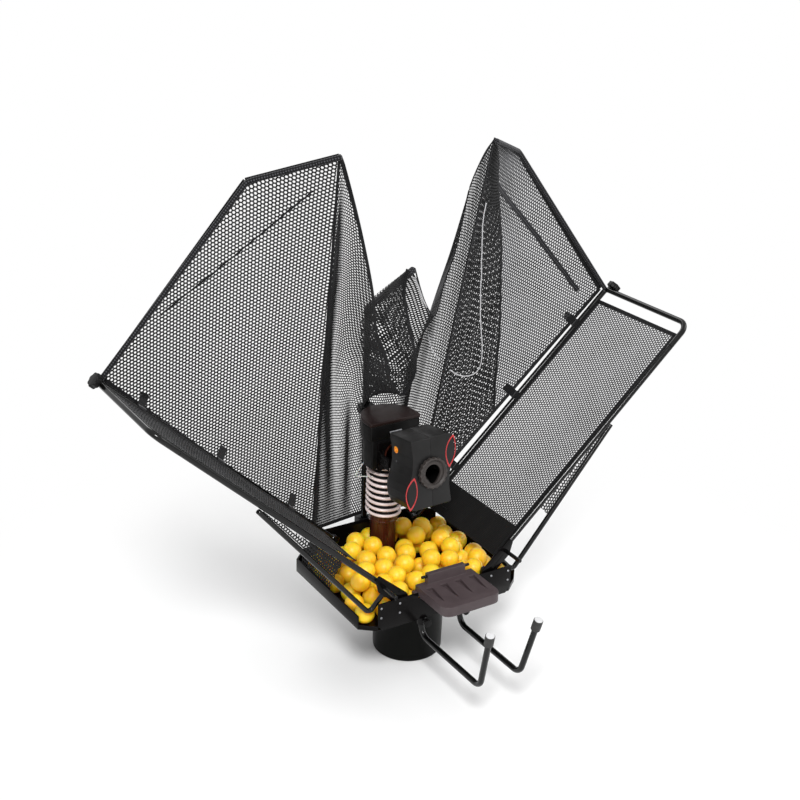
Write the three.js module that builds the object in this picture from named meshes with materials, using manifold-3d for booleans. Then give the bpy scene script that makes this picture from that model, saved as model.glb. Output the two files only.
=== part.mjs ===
// Table tennis robot: a ball tray on a mixing drum, a feed column with a coil spring, a throwing
// head on pan, tilt and roll axes, and two folding wings with nets that catch the returned balls.
// Millimetres, +Z up, -Y toward the table, +X to the right seen from the table.
// The origin is on the underside of the table tongue, in the plane of the front panel's face.
import * as THREE from 'three';
import Module from 'manifold-3d';
import { mergeVertices } from 'three/addons/utils/BufferGeometryUtils.js';

const wasm = await Module();
wasm.setup();

// Clearances and stock
const fitGap = 0.3;
const cutOverrun = 6;
const sheet = 2.5;
const ballRadius = 20;

// Tray
const trayHalfWidth = 157;
const trayDepth = 318;
const trayFloorDrop = 53;
const trayRimRise = 8;
const traySideHeight = 29;
const trayChamfer = 34;
const panelChamfer = 11.3;
// Behind the panel the tub is wider than the panel, with a slanted corner.
const tubOverhang = 30;
const tubCorner = 24;
const tubCornerHeight = 10;

// Tongue that rests on the table
const tongueHalfWidth = 66;
const tongueReach = 95;
const tongueHeel = 13;
const tongueThickness = 20;
const tongueCorner = 22;
const tongueGrooveDepth = 7;
const tongueGrooveWidth = 15;
const tongueGrooveCount = 4;
const tongueGrooveReachShare = 0.72;
const tongueGrooveSpreadShare = 0.75;
const tongueBarHalfWidth = 44;
const tongueBarHeight = 41;
const tongueBarDepth = 11;
const tonguePinRadius = 3;
const tonguePinProud = 12;
// Behind the panel the tongue has an ear on each side, and the panel's edge stays clear of the table.
const tongueEar = 8;
const tongueRelief = 4;

// Mixing drum and feed
const columnInset = 70;
const columnY = trayDepth - columnInset;
const drumToColumn = 108;
const drumAxisY = columnY - drumToColumn;
const drumTopRadius = 76;
const drumFootRadius = 72;
const drumHeight = 154;
const drumMouthRadius = 64;
const drumDeckHeight = 25;
const drumCorner = 6;
const deckThickness = 2;
const feedWheelRadius = 56;
const feedWheelHeight = 26;
const feedHubRadius = 15;
const feedPockets = 5;
const feedRimSteps = 30;
const feedShaftRadius = 4;
const feedMotorRadius = 27;
const pipeRadius = 27.5;
const pipeBore = 24;
const pipeBendRadius = 37;
const pipeMouth = 8;
const pipeTop = 62;
const collarRadius = 30.5;
const collarHeight = 20;
const hoseRadius = 25;
const hoseBore = 22;
const hoseTop = 178;

// Coil spring round the hose
const springWireRadius = 2.7;
const springTopRadius = 33.5;
const springSeat = 4;
const springTop = hoseTop - springSeat;
const springTurns = 8.5;
const springCurlSteps = 8;
const springWireSides = 5;

// Pole, its arm and the control box
const poleStandoff = 9;
const poleY = trayDepth + poleStandoff;
const poleRadius = 7;
const poleTop = 470;
const poleFoot = -30;
const armReach = 168;
const armApexY = poleY - armReach;
const armApexRise = 612;
const footBlockHalfWidth = 15;
const footBlockDepth = 24;
const footBlockHeight = 34;
const boxFrontReach = 41;
const boxBackReach = 44;
const boxFrontY = columnY - boxFrontReach;
const boxBackY = columnY + boxBackReach;
const boxHalfWidth = 58;
const turretSeat = 4;
const turretHeight = 64;
const turretFloor = hoseTop + turretSeat;
const boxFloor = turretFloor + turretHeight;
const boxHeight = 31;
const boxShoulder = 24;
const coverHeight = 8;
const coverLip = 1.6;
const shellWall = 2.8;
const boxBracketHeight = 20;
const panMotorSize = 28;

// Turret that pans under the box, and its tilt bracket
const turretHalfWidth = 53;
const turretFrontReach = 39;
const turretBackReach = 36;
const turretFrontY = columnY - turretFrontReach;
const turretBackY = columnY + turretBackReach;
const turretRoof = 3;
const neckRadius = 32;
const neckHeight = 3;
const spindleRadius = 9;
const elbowBend = 28.5;
const elbowRise = 27;
const elbowNoseReach = 43;
const tiltPivotReach = 70;
const elbowAxisRise = turretFloor + elbowRise;
const elbowNoseY = columnY - elbowNoseReach;
const tiltPivotY = columnY - tiltPivotReach;
const bracketHalfWidth = 38;
const bracketPlate = 3;
const bracketArm = 13;
const trunnionRadius = 4;
const cradleRadius = 33;
const cradleBore = 24;
const cradleLength = 14;

// Throwing head
const headRestTilt = 8;
const headFront = 109;
const headBack = 29;
const headHalfHeight = 72;
const headHalfWidth = 45;
const lobeHalfWidth = 57;
const nozzleRadius = 32;
const nozzleBore = 24.5;
const nozzleProud = 10;
const nozzleBumpDepth = 2.2;
const nozzleBumpCount = 18;
const wheelRadius = 23.5;
const wheelWidth = 17;
const wheelNip = 37;
const axleRadius = 3;
const motorRadius = 13.5;
const motorEndClear = 3.2;
const windowRadius = 6;
const windowRiseShare = 0.55;
const windowInset = 18;

// Hooks under the table
const hookX = 46;
const hookLegY = 17;
const hookTubeRadius = 6;
const hookLegTop = -6;
const hookRunDrop = 102;
const hookReach = 190;
const hookTipForward = 35;
const hookTipSplay = 9;
const hookTipTop = 34;
const hookBend = 24;
const padRadius = 9.3;
const padHeight = 25;
const padCap = 7;
const padEdge = 1;
const bushRadius = 9.3;
const bushFlangeRadius = 12.2;
const bushTop = -34;
const bushFoot = -76;
const screwDrop = 64;
const screwRadius = 3;
const screwLength = 6;
const screwKnobRadius = 8;
const screwKnobLength = 10;

// Wings
const hingeX = 100;
const hingeRise = 2;
const hingePinRadius = 4;
const wingRestAngle = 42.7;
const wingReach = 664;
const railRadius = 6;
const frontRailY = 14;
const backRailInset = 39;
const backRailY = trayDepth - backRailInset;
const bowLeg = 60;
const bowBend = 24;
const cornerBend = 8;
const eyeRadius = 10;
const strutRadius = 5;
const strutU = 41;
const strutDrop = 59;
const strutMeet = 400;
const gussetLength = 84;
const gussetHalfWidth = 15;
const gussetFlatShare = 0.72;
const gussetTipShare = 0.8;
const rodRadius = 4.5;
const rodBendHeight = 446;
const rodBendLean = 19.5;
const rodBendForward = 31;
const rodApexHeight = 575;
const rodApexInset = 43;
const rodApexForward = 136;
const rodBend = 26;
const knobRadius = 15;
const knobLength = 12;

// Nets
const netThickness = 1.6;
const strandShare = 0.055;
const floorNetStart = 38;
const floorNetMargin = 34;
const floorNetEnd = wingReach - floorNetMargin;
const floorNetSag = 9;
const backNetInset = 8.2;
const backNetOverhang = 3;
const backNetStandoff = 5.5;
const backNetFootX = trayHalfWidth + backNetOverhang;
const backNetFootY = trayDepth + backNetStandoff;
const backNetFootRise = 12;
const innerNetFootInset = 9;
const innerNetStandoff = 4;
const innerNetFootX = trayHalfWidth - innerNetFootInset;
const innerNetFootY = trayDepth + innerNetStandoff;
const innerNetFootRise = 16;
const innerNetDip = 395;
const innerNetDipForward = 26;
const innerNetKneeShare = 0.75;
const floorNetColumns = 9;
const floorNetRows = 4;
const backNetColumns = 7;
const backNetRows = 7;
const innerNetColumns = 4;
const innerNetRows = 7;

// Ball load
const heapPitch = 40.6;
const heapLayers = 3;
const heapLayerShare = 0.8165;
const heapStepShare = 0.6;
const heapNeckRadius = 2;
const heapSegments = 6;
const heapRings = 4;

const roundSides = 16;
const boreSides = 12;
const drumSides = 24;
const tubeSides = 8;
const bendSteps = 4;
const arcSteps = 12;
const hookSides = 10;

function finish(colour, roughness, metalness = 0) {
  return new THREE.MeshStandardMaterial({ color: colour, roughness, metalness });
}
const paint = {
  steel: finish('#141414', 0.35, 0.6),
  plastic: finish('#1b1c1c', 0.5),
  moulding: finish('#2b2728', 0.7),
  drum: finish('#121311', 0.45),
  pipe: finish('#35140c', 0.4),
  rubber: finish('#0e0e0e', 0.85),
  spring: finish('#ecd9d8', 0.35, 0.4),
  motor: finish('#9a9a98', 0.4, 0.9),
  net: finish('#161616', 0.9),
  pad: finish('#1a1a1a', 0.7),
  balls: finish('#f9a21b', 0.45),
};

// Shapes

// The radius of a faceted bore whose flats still clear a shaft.
function roundBore(shaftRadius, sides = roundSides) {
  return (shaftRadius + fitGap) / Math.cos(Math.PI / sides);
}

function plane(points) {
  return new THREE.Shape(points.map(([x, y]) => new THREE.Vector2(x, y)));
}

function roundHole(shape, x, y, radius, sides = roundSides) {
  const hole = new THREE.Path();
  for (let i = 0; i < sides; i++) {
    const a = -2 * Math.PI * i / sides;
    const spot = new THREE.Vector2(x + radius * Math.cos(a), y + radius * Math.sin(a));
    if (i === 0) hole.moveTo(spot.x, spot.y); else hole.lineTo(spot.x, spot.y);
  }
  hole.closePath();
  shape.holes.push(hole);
  return shape;
}

function disc(x, y, radius, sides = roundSides) {
  const points = [];
  for (let i = 0; i < sides; i++) {
    const a = 2 * Math.PI * i / sides;
    points.push([x + radius * Math.cos(a), y + radius * Math.sin(a)]);
  }
  return plane(points);
}

function slab(shape, z, height, curveSegments = 6) {
  const options = { depth: height, bevelEnabled: false, curveSegments };
  return new THREE.ExtrudeGeometry(shape, options).translate(0, 0, z);
}

// A slab whose outline is drawn in X and Z, and whose thickness runs from y toward +Y.
function wallSlab(shape, y, thickness) {
  return slab(shape, 0, thickness).rotateX(Math.PI / 2).translate(0, y + thickness, 0);
}

function block(x0, x1, y0, y1, z0, z1) {
  return new THREE.BoxGeometry(x1 - x0, y1 - y0, z1 - z0)
    .translate((x0 + x1) / 2, (y0 + y1) / 2, (z0 + z1) / 2);
}

function rodAlongY(x, z, radius, y0, y1, sides = roundSides) {
  return new THREE.CylinderGeometry(radius, radius, y1 - y0, sides).translate(x, (y0 + y1) / 2, z);
}

function rodAlongZ(x, y, radius, z0, z1, sides = roundSides) {
  return new THREE.CylinderGeometry(radius, radius, z1 - z0, sides).rotateX(Math.PI / 2)
    .translate(x, y, (z0 + z1) / 2);
}

function rodAlongX(y, z, radius, x0, x1, sides = roundSides) {
  return new THREE.CylinderGeometry(radius, radius, x1 - x0, sides).rotateZ(Math.PI / 2)
    .translate((x0 + x1) / 2, y, z);
}

// A closed ring or cup turned about Z from a profile of [radius, z] pairs.
function turned(profile, sides = roundSides) {
  const points = profile.map(([r, z]) => new THREE.Vector2(r, z));
  return new THREE.LatheGeometry(points, sides).rotateX(Math.PI / 2);
}

function sleeve(outer, bore, z0, z1, sides = roundSides) {
  return turned([[bore, z0], [outer, z0], [outer, z1], [bore, z1], [bore, z0]], sides);
}

// Tubes along straight runs with rounded corners

class BentPath extends THREE.Curve {
  constructor(stations) {
    super();
    this.stations = stations;
  }

  getPoint(t, target = new THREE.Vector3()) {
    const last = this.stations.length - 1;
    const place = Math.min(Math.max(t, 0), 1) * last;
    const i = Math.min(Math.floor(place + 1e-9), last - 1);
    return target.lerpVectors(this.stations[i], this.stations[i + 1], place - i);
  }

  getPointAt(u, target) {
    return this.getPoint(u, target);
  }

  getTangentAt(u) {
    const last = this.stations.length - 1;
    const i = Math.round(u * last);
    const before = this.stations[Math.max(i - 1, 0)];
    const here = this.stations[i];
    const after = this.stations[Math.min(i + 1, last)];
    const inward = here.clone().sub(before).normalize();
    const outward = after.clone().sub(here).normalize();
    return inward.add(outward).normalize();
  }
}

function point(x, y, z) {
  return new THREE.Vector3(x, y, z);
}

// bend is one radius for every corner, or a list with one for each.
function bentStations(corners, bend, steps = bendSteps) {
  const stations = [corners[0]];
  for (let i = 1; i < corners.length - 1; i++) {
    const radius = Array.isArray(bend) ? bend[i - 1] : bend;
    const corner = corners[i];
    const toBefore = corners[i - 1].clone().sub(corner).normalize();
    const toAfter = corners[i + 1].clone().sub(corner).normalize();
    const half = toBefore.angleTo(toAfter) / 2;
    const start = corner.clone().addScaledVector(toBefore, radius / Math.tan(half));
    const inner = toBefore.clone().add(toAfter).normalize();
    const centre = corner.clone().addScaledVector(inner, radius / Math.sin(half));
    const axis = new THREE.Vector3().crossVectors(toBefore, toAfter).normalize();
    for (let k = 0; k <= steps; k++) {
      const turn = -(Math.PI - 2 * half) * k / steps;
      stations.push(start.clone().sub(centre).applyAxisAngle(axis, turn).add(centre));
    }
  }
  stations.push(corners[corners.length - 1]);
  return stations;
}

function tube(corners, radius, bend = 0, sides = tubeSides) {
  const stations = corners.length > 2 ? bentStations(corners, bend) : corners;
  const options = { steps: stations.length - 1, bevelEnabled: false, extrudePath: new BentPath(stations) };
  return new THREE.ExtrudeGeometry(disc(0, 0, radius, sides), options);
}

// Joining and cutting

function solidOf(geometry) {
  const plain = geometry.clone().deleteAttribute('normal').deleteAttribute('uv');
  const merged = mergeVertices(plain, fitGap / 1000);
  const vertProperties = new Float32Array(merged.getAttribute('position').array);
  const triVerts = new Uint32Array(merged.index.array);
  return new wasm.Manifold(new wasm.Mesh({ numProp: 3, vertProperties, triVerts }));
}

function geometryOf(solid) {
  const mesh = solid.getMesh();
  const geometry = new THREE.BufferGeometry();
  const places = new Float32Array(mesh.numVert * 3);
  for (let i = 0; i < mesh.numVert; i++) {
    for (let k = 0; k < 3; k++) places[i * 3 + k] = mesh.vertProperties[i * mesh.numProp + k];
  }
  geometry.setAttribute('position', new THREE.BufferAttribute(places, 3));
  geometry.setIndex(new THREE.BufferAttribute(new Uint32Array(mesh.triVerts), 1));
  return geometry;
}

function shaped(base, { add = [], cut = [] }) {
  let solid = solidOf(base);
  for (const piece of add) solid = solid.add(solidOf(piece));
  for (const piece of cut) solid = solid.subtract(solidOf(piece));
  return geometryOf(solid);
}

// The mirror image in X for the left side, or the same shape for the right side.
function sided(geometry, side) {
  if (side > 0) return geometry;
  const mirror = mergeVertices(geometry.clone().deleteAttribute('normal'), fitGap / 1000);
  mirror.scale(-1, 1, 1);
  const index = mirror.index.array;
  for (let i = 0; i < index.length; i += 3) {
    [index[i + 1], index[i + 2]] = [index[i + 2], index[i + 1]];
  }
  return mirror;
}

function inset(points, margin) {
  return points.map((here, i) => {
    const before = points[(i + points.length - 1) % points.length];
    const after = points[(i + 1) % points.length];
    const a = new THREE.Vector2(here[0] - before[0], here[1] - before[1]).normalize();
    const b = new THREE.Vector2(after[0] - here[0], after[1] - here[1]).normalize();
    const normal = new THREE.Vector2(-a.y - b.y, a.x + b.x).normalize();
    const reach = margin / Math.max(normal.dot(new THREE.Vector2(-a.y, a.x)), 0.5);
    return [here[0] + normal.x * reach, here[1] + normal.y * reach];
  });
}

const product = new THREE.Group();

function piece(name, geometry, material, parent = product) {
  const mesh = new THREE.Mesh(geometry, material);
  mesh.name = name;
  parent.add(mesh);
  return mesh;
}

// Tray and front panel

const sideName = { 1: 'right', '-1': 'left' };
const trayFloor = -trayFloorDrop;
const trayFloorTop = trayFloor + sheet;
const tubHalfWidth = trayHalfWidth + tubOverhang;

function trayOutline(margin) {
  const x = trayHalfWidth - margin;
  const y0 = sheet + fitGap;
  const y1 = trayDepth - margin;
  return [[-x, y0], [x, y0], [x, y1 - trayChamfer], [x - trayChamfer, y1],
    [-x + trayChamfer, y1], [-x, y1 - trayChamfer]];
}

function tubOutline(margin) {
  const x = tubHalfWidth - margin;
  const front = trayHalfWidth - margin;
  const y0 = sheet + fitGap;
  const y1 = trayDepth - margin;
  return [[-front, y0], [front, y0], [x, y0 + tubCorner], [x, y1 - trayChamfer], [x - trayChamfer, y1],
    [trayChamfer - x, y1], [-x, y1 - trayChamfer], [-x, y0 + tubCorner]];
}

// The back wall with its slanted ends stands in the tub, whose own sides are low.
function traySheet() {
  const wallTop = trayRimRise;
  const open = wallTop - trayFloorTop + cutOverrun;
  const backWall = shaped(slab(plane(trayOutline(0)), trayFloor, wallTop - trayFloor), { cut: [
    slab(plane(trayOutline(sheet)), trayFloorTop, open),
    block(-tubHalfWidth, tubHalfWidth, 0, trayDepth - trayChamfer - sheet, trayFloorTop,
      wallTop + cutOverrun),
  ] });
  const tub = shaped(slab(plane(tubOutline(0)), trayFloor, traySideHeight),
    { cut: [slab(plane(tubOutline(sheet)), trayFloorTop, open)] });
  const cuts = [
    rodAlongZ(0, drumAxisY, drumMouthRadius, trayFloor - cutOverrun, trayFloorTop + cutOverrun),
    rodAlongZ(0, columnY, roundBore(pipeRadius), trayFloor - cutOverrun, trayFloorTop + cutOverrun),
  ];
  for (const side of [-1, 1]) {
    cuts.push(rodAlongZ(side * hookX, hookLegY, bushRadius + fitGap,
      trayFloor - cutOverrun, trayFloorTop + cutOverrun));
    // The slanted front corner is low, so that the strut's foot can swing down over it.
    const ends = [side * (trayHalfWidth - 1), side * (tubHalfWidth + cutOverrun)];
    cuts.push(block(Math.min(...ends), Math.max(...ends), 0, sheet + fitGap + tubCorner,
      trayFloor + tubCornerHeight, trayFloor + traySideHeight + cutOverrun));
  }
  const pins = [-1, 1].map((side) => rodAlongY(side * hingeX, hingeRise, hingePinRadius,
    backRailY - eyeRadius, trayDepth - sheet / 2, boreSides));
  return shaped(shaped(tub, { add: [backWall], cut: cuts }), { add: pins });
}

function frontPanel() {
  const notch = tongueHalfWidth + fitGap;
  const chamfer = panelChamfer;
  const outline = plane([[-trayHalfWidth, trayFloor + chamfer], [-trayHalfWidth + chamfer, trayFloor],
    [trayHalfWidth - chamfer, trayFloor], [trayHalfWidth, trayFloor + chamfer],
    [trayHalfWidth, trayRimRise], [notch, trayRimRise], [notch, -tongueRelief], [-notch, -tongueRelief],
    [-notch, trayRimRise], [-trayHalfWidth, trayRimRise]]);
  const pins = [-1, 1].map((side) => rodAlongY(side * hingeX, hingeRise, hingePinRadius,
    sheet / 2, frontRailY + eyeRadius, boreSides));
  return shaped(wallSlab(outline, 0, sheet), { add: pins });
}

piece('tray_pan', traySheet(), paint.steel);
piece('front_panel', frontPanel(), paint.steel);

// Tongue

function tongueBody() {
  const x = tongueHalfWidth;
  const plan = new THREE.Shape();
  plan.moveTo(x, tongueHeel);
  plan.lineTo(-x, tongueHeel);
  plan.lineTo(-x, -tongueReach + tongueCorner);
  plan.quadraticCurveTo(-x, -tongueReach, -x + tongueCorner, -tongueReach);
  plan.lineTo(x - tongueCorner, -tongueReach);
  plan.quadraticCurveTo(x, -tongueReach, x, -tongueReach + tongueCorner);
  plan.closePath();
  const bar = block(-tongueBarHalfWidth, tongueBarHalfWidth, tongueHeel - tongueBarDepth, tongueHeel,
    tongueThickness / 2, tongueBarHeight);
  const spread = x * tongueGrooveSpreadShare;
  const grooves = [];
  for (let i = 0; i < tongueGrooveCount; i++) {
    const middle = spread * (2 * i / (tongueGrooveCount - 1) - 1);
    const wide = tongueGrooveWidth / 2;
    const wedge = plane([[middle - wide, -tongueBarDepth], [middle, -tongueReach * tongueGrooveReachShare],
      [middle + wide, -tongueBarDepth]]);
    grooves.push(slab(wedge, tongueThickness - tongueGrooveDepth, tongueGrooveDepth + cutOverrun));
  }
  const ears = block(-x - tongueEar, x + tongueEar, sheet + fitGap, tongueHeel, 0, trayRimRise);
  const pinHole = rodAlongX(tongueHeel - tongueBarDepth / 2, tongueBarHeight - 2 * tonguePinRadius,
    tonguePinRadius + fitGap, -x, x, boreSides);
  return shaped(slab(plan, 0, tongueThickness), { add: [bar, ears], cut: [...grooves, pinHole] });
}

piece('table_tongue', tongueBody(), paint.moulding);
piece('tongue_pin', rodAlongX(tongueHeel - tongueBarDepth / 2, tongueBarHeight - 2 * tonguePinRadius,
  tonguePinRadius, -tongueBarHalfWidth - tonguePinProud, tongueBarHalfWidth + tonguePinProud, boreSides),
paint.steel);

// Mixing drum, its deck, the feed wheel and its motor

const drumTop = trayFloor - fitGap;
const drumFoot = drumTop - drumHeight;
const deckTop = drumFoot + drumDeckHeight;
const pipeAxisZ = deckTop + pipeRadius + 2 * fitGap;

// The pipe leaves the drum toward the back and bends up into the column.
function pipeCorners(over) {
  return [point(0, columnY - pipeBendRadius - pipeMouth - over, pipeAxisZ),
    point(0, columnY, pipeAxisZ), point(0, columnY, pipeTop + over)];
}

function drumCup() {
  const top = drumTopRadius;
  const foot = drumFootRadius;
  const cup = turned([[0, drumFoot], [foot - drumCorner, drumFoot], [foot, drumFoot + drumCorner],
    [top, drumTop], [top - sheet, drumTop], [foot - sheet, drumFoot + drumCorner],
    [foot - drumCorner - sheet, drumFoot + sheet], [0, drumFoot + sheet]], drumSides);
  const outlet = tube(pipeCorners(drumFootRadius), pipeRadius + fitGap, pipeBendRadius, boreSides);
  return shaped(cup.translate(0, drumAxisY, 0), { cut: [outlet] });
}

function feedWheel() {
  const rim = [];
  for (let i = 0; i < feedRimSteps; i++) {
    const a = 2 * Math.PI * i / feedRimSteps;
    const wave = (1 + Math.cos(feedPockets * a)) / 2;
    const radius = feedHubRadius + (feedWheelRadius - feedHubRadius) * wave;
    rim.push([radius * Math.cos(a), radius * Math.sin(a)]);
  }
  const shape = roundHole(plane(rim), 0, 0, feedShaftRadius + fitGap, boreSides);
  return slab(shape, deckTop + fitGap, feedWheelHeight).translate(0, drumAxisY, 0);
}

function feedMotor() {
  const roof = deckTop - deckThickness - fitGap;
  const body = rodAlongZ(0, drumAxisY, feedMotorRadius, drumFoot + sheet + fitGap, roof);
  const shaft = rodAlongZ(0, drumAxisY, feedShaftRadius, roof - sheet, deckTop + feedWheelHeight, boreSides);
  return shaped(body, { add: [shaft] });
}

const deckRadius = drumFootRadius - sheet - fitGap;
const deckPlate = roundHole(disc(0, 0, deckRadius), 0, 0, feedShaftRadius + fitGap, boreSides);
piece('mixing_drum', drumCup(), paint.drum);
piece('drum_deck', slab(deckPlate, deckTop - deckThickness, deckThickness).translate(0, drumAxisY, 0),
  paint.steel);
piece('feed_wheel', feedWheel(), paint.rubber);
piece('feed_motor', feedMotor(), paint.motor);

// Feed column

function feedPipe() {
  return shaped(tube(pipeCorners(0), pipeRadius, pipeBendRadius, boreSides),
    { cut: [tube(pipeCorners(cutOverrun), pipeBore, pipeBendRadius, boreSides)] });
}

// The spring starts round the collar and climbs to the turret's neck.
function pipeSpring() {
  const chordShare = Math.cos(Math.PI / springCurlSteps);
  const wireFlat = springWireRadius * Math.cos(Math.PI / springWireSides);
  const footRadius = (collarRadius + 2 * fitGap + wireFlat) / chordShare;
  const foot = pipeTop - springWireRadius;
  const steps = Math.round(springTurns * springCurlSteps);
  const centres = [];
  for (let i = 0; i <= steps; i++) {
    const share = i / steps;
    const a = 2 * Math.PI * springTurns * share;
    const radius = footRadius + (springTopRadius - footRadius) * share;
    centres.push(point(radius * Math.cos(a), columnY + radius * Math.sin(a),
      foot + (springTop - foot) * share));
  }
  const start = centres[0].clone().sub(centres[1]).setLength(2 * springWireRadius).add(centres[0]);
  const end = centres[steps].clone().sub(centres[steps - 1]).setLength(2 * springWireRadius)
    .add(centres[steps]);
  const path = [start, ...centres, end];
  let least = Infinity;
  for (let i = 0; i < centres.length; i++) {
    for (let k = i + springCurlSteps / 2; k < centres.length; k++) {
      least = Math.min(least, centres[i].distanceTo(centres[k]) - 2 * springWireRadius);
    }
  }
  console.log('least gap between spring turns', least.toFixed(2));
  return ringTube(path, springWireRadius, springWireSides, point(0, 0, 1));
}

// A closed tube of flat rings whose sections keep the given upward direction.
function ringTube(path, radius, sides, upward) {
  const places = [];
  const index = [];
  for (let i = 0; i < path.length; i++) {
    const before = path[Math.max(i - 1, 0)];
    const after = path[Math.min(i + 1, path.length - 1)];
    const along = after.clone().sub(before).normalize();
    const sideways = new THREE.Vector3().crossVectors(along, upward).normalize();
    const up = new THREE.Vector3().crossVectors(sideways, along);
    for (let k = 0; k < sides; k++) {
      const a = 2 * Math.PI * k / sides;
      const spot = path[i].clone().addScaledVector(sideways, radius * Math.cos(a))
        .addScaledVector(up, radius * Math.sin(a));
      places.push(spot.x, spot.y, spot.z);
    }
  }
  for (let i = 0; i < path.length - 1; i++) {
    for (let k = 0; k < sides; k++) {
      const a = i * sides + k;
      const b = i * sides + (k + 1) % sides;
      index.push(a, a + sides, b, b, a + sides, b + sides);
    }
  }
  const last = (path.length - 1) * sides;
  for (let k = 1; k < sides - 1; k++) {
    index.push(0, k, k + 1, last, last + k + 1, last + k);
  }
  const geometry = new THREE.BufferGeometry();
  geometry.setAttribute('position', new THREE.Float32BufferAttribute(places, 3));
  geometry.setIndex(index);
  return geometry;
}

piece('feed_pipe', feedPipe(), paint.pipe);
piece('pipe_collar', sleeve(collarRadius, roundBore(pipeRadius), pipeTop - collarHeight, pipeTop + fitGap)
  .translate(0, columnY, 0), paint.pipe);
piece('inner_hose', sleeve(hoseRadius, hoseBore, pipeTop + fitGap, hoseTop).translate(0, columnY, 0),
  paint.rubber);
piece('pipe_spring', pipeSpring(), paint.spring);

// Pole and arm

function poleFootBlock() {
  const y0 = trayDepth + fitGap;
  const body = block(-footBlockHalfWidth, footBlockHalfWidth, y0, y0 + footBlockDepth,
    trayRimRise - footBlockHeight, trayRimRise);
  const bore = rodAlongZ(0, poleY, poleRadius + fitGap, -2 * trayFloorDrop, 2 * trayFloorDrop);
  return shaped(body, { cut: [bore] });
}

function boxBracket() {
  const top = boxFloor + boxHeight - shellWall;
  const y1 = poleY + poleRadius + shellWall;
  const body = block(-footBlockHalfWidth, footBlockHalfWidth, boxBackY + fitGap, y1,
    top - boxBracketHeight, top);
  const bore = rodAlongZ(0, poleY, poleRadius + fitGap, top - 2 * boxBracketHeight,
    top + boxBracketHeight);
  return shaped(body, { cut: [bore] });
}

function poleArm() {
  const elbow = 2 * poleRadius;
  return tube([point(0, poleY, poleTop + fitGap), point(0, poleY, poleTop + elbow),
    point(0, armApexY, armApexRise)], poleRadius, poleRadius);
}

piece('pole_foot', poleFootBlock(), paint.plastic);
piece('net_pole', rodAlongZ(0, poleY, poleRadius, poleFoot, poleTop, boreSides), paint.steel);
piece('pole_arm', poleArm(), paint.net);
piece('box_bracket', boxBracket(), paint.plastic);

// Control box on the pole, its cover and the pan motor inside

function deePlan(halfWidth, frontY, backY, margin = 0) {
  const x = halfWidth - margin;
  const shoulderY = frontY + boxShoulder;
  const reach = backY - margin - shoulderY;
  const points = [[-x, frontY + margin], [x, frontY + margin]];
  for (let i = 0; i <= arcSteps; i++) {
    const a = Math.PI * i / arcSteps;
    points.push([x * Math.cos(a), shoulderY + reach * Math.sin(a)]);
  }
  return plane(points);
}

function boxShell() {
  const outer = slab(deePlan(boxHalfWidth, boxFrontY, boxBackY), boxFloor, boxHeight);
  const inner = slab(deePlan(boxHalfWidth, boxFrontY, boxBackY, shellWall), boxFloor + shellWall,
    boxHeight);
  const hole = rodAlongZ(0, columnY, spindleRadius + fitGap, boxFloor - cutOverrun,
    boxFloor + shellWall + cutOverrun);
  return shaped(outer, { cut: [inner, hole] });
}

function boxCover() {
  const z = boxFloor + boxHeight + fitGap;
  const plan = deePlan(boxHalfWidth + coverLip, boxFrontY - coverLip, boxBackY);
  return slab(plan, z, coverHeight);
}

const spindleTop = boxFloor + boxHeight / 2;
piece('control_box', boxShell(), paint.plastic);
piece('box_cover', boxCover(), paint.plastic);
piece('pan_motor', block(-panMotorSize / 2, panMotorSize / 2, columnY - spindleRadius - panMotorSize,
  columnY - spindleRadius - sheet, boxFloor + shellWall + fitGap, boxFloor + boxHeight - shellWall),
paint.motor);

// Turret: housing, ball elbow and tilt bracket turn about the column's axis

const turret = new THREE.Group();
turret.position.set(0, columnY, 0);
product.add(turret);

function turretHousing() {
  const front = turretFrontY - columnY;
  const back = turretBackY - columnY;
  const roof = boxFloor - fitGap;
  const outer = slab(deePlan(turretHalfWidth, front, back), turretFloor, roof - turretFloor);
  const inner = slab(deePlan(turretHalfWidth, front, back, shellWall), turretFloor + shellWall,
    roof - turretRoof - turretFloor - shellWall);
  const neck = rodAlongZ(0, 0, neckRadius, turretFloor - neckHeight, turretFloor + shellWall);
  const spindle = rodAlongZ(0, 0, spindleRadius, roof - turretRoof, spindleTop);
  const throat = tube(elbowCorners(cutOverrun), hoseRadius + fitGap, elbowBend, boreSides);
  return shaped(outer, { add: [neck, spindle], cut: [inner, throat] });
}

// The ball elbow rises from the hose and turns forward to the head.
function elbowCorners(over) {
  return [point(0, 0, hoseTop + fitGap - over), point(0, 0, elbowAxisRise),
    point(0, elbowNoseY - columnY - over, elbowAxisRise)];
}

function ballElbow() {
  return shaped(tube(elbowCorners(0), hoseRadius, elbowBend, boreSides),
    { cut: [tube(elbowCorners(cutOverrun), hoseBore, elbowBend, boreSides)] });
}

function tiltBracket() {
  const faceY = turretFrontY - columnY - fitGap;
  const pivotY = tiltPivotY - columnY;
  const outer = bracketHalfWidth + bracketPlate;
  const plateRise = hoseRadius + 2 * bracketPlate;
  const plate = block(-outer, outer, faceY - bracketPlate, faceY, elbowAxisRise - plateRise,
    elbowAxisRise + plateRise);
  const ears = [-1, 1].map((side) => block(Math.min(side * outer, side * bracketHalfWidth),
    Math.max(side * outer, side * bracketHalfWidth), pivotY - bracketArm, faceY - bracketPlate / 2,
    elbowAxisRise - bracketArm, elbowAxisRise + bracketArm));
  const throat = rodAlongY(0, elbowAxisRise, roundBore(hoseRadius), faceY - bracketArm,
    faceY + cutOverrun);
  const pivots = rodAlongX(pivotY, elbowAxisRise, trunnionRadius + fitGap, -outer - cutOverrun,
    outer + cutOverrun);
  return shaped(plate, { add: ears, cut: [throat, pivots] });
}

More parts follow.
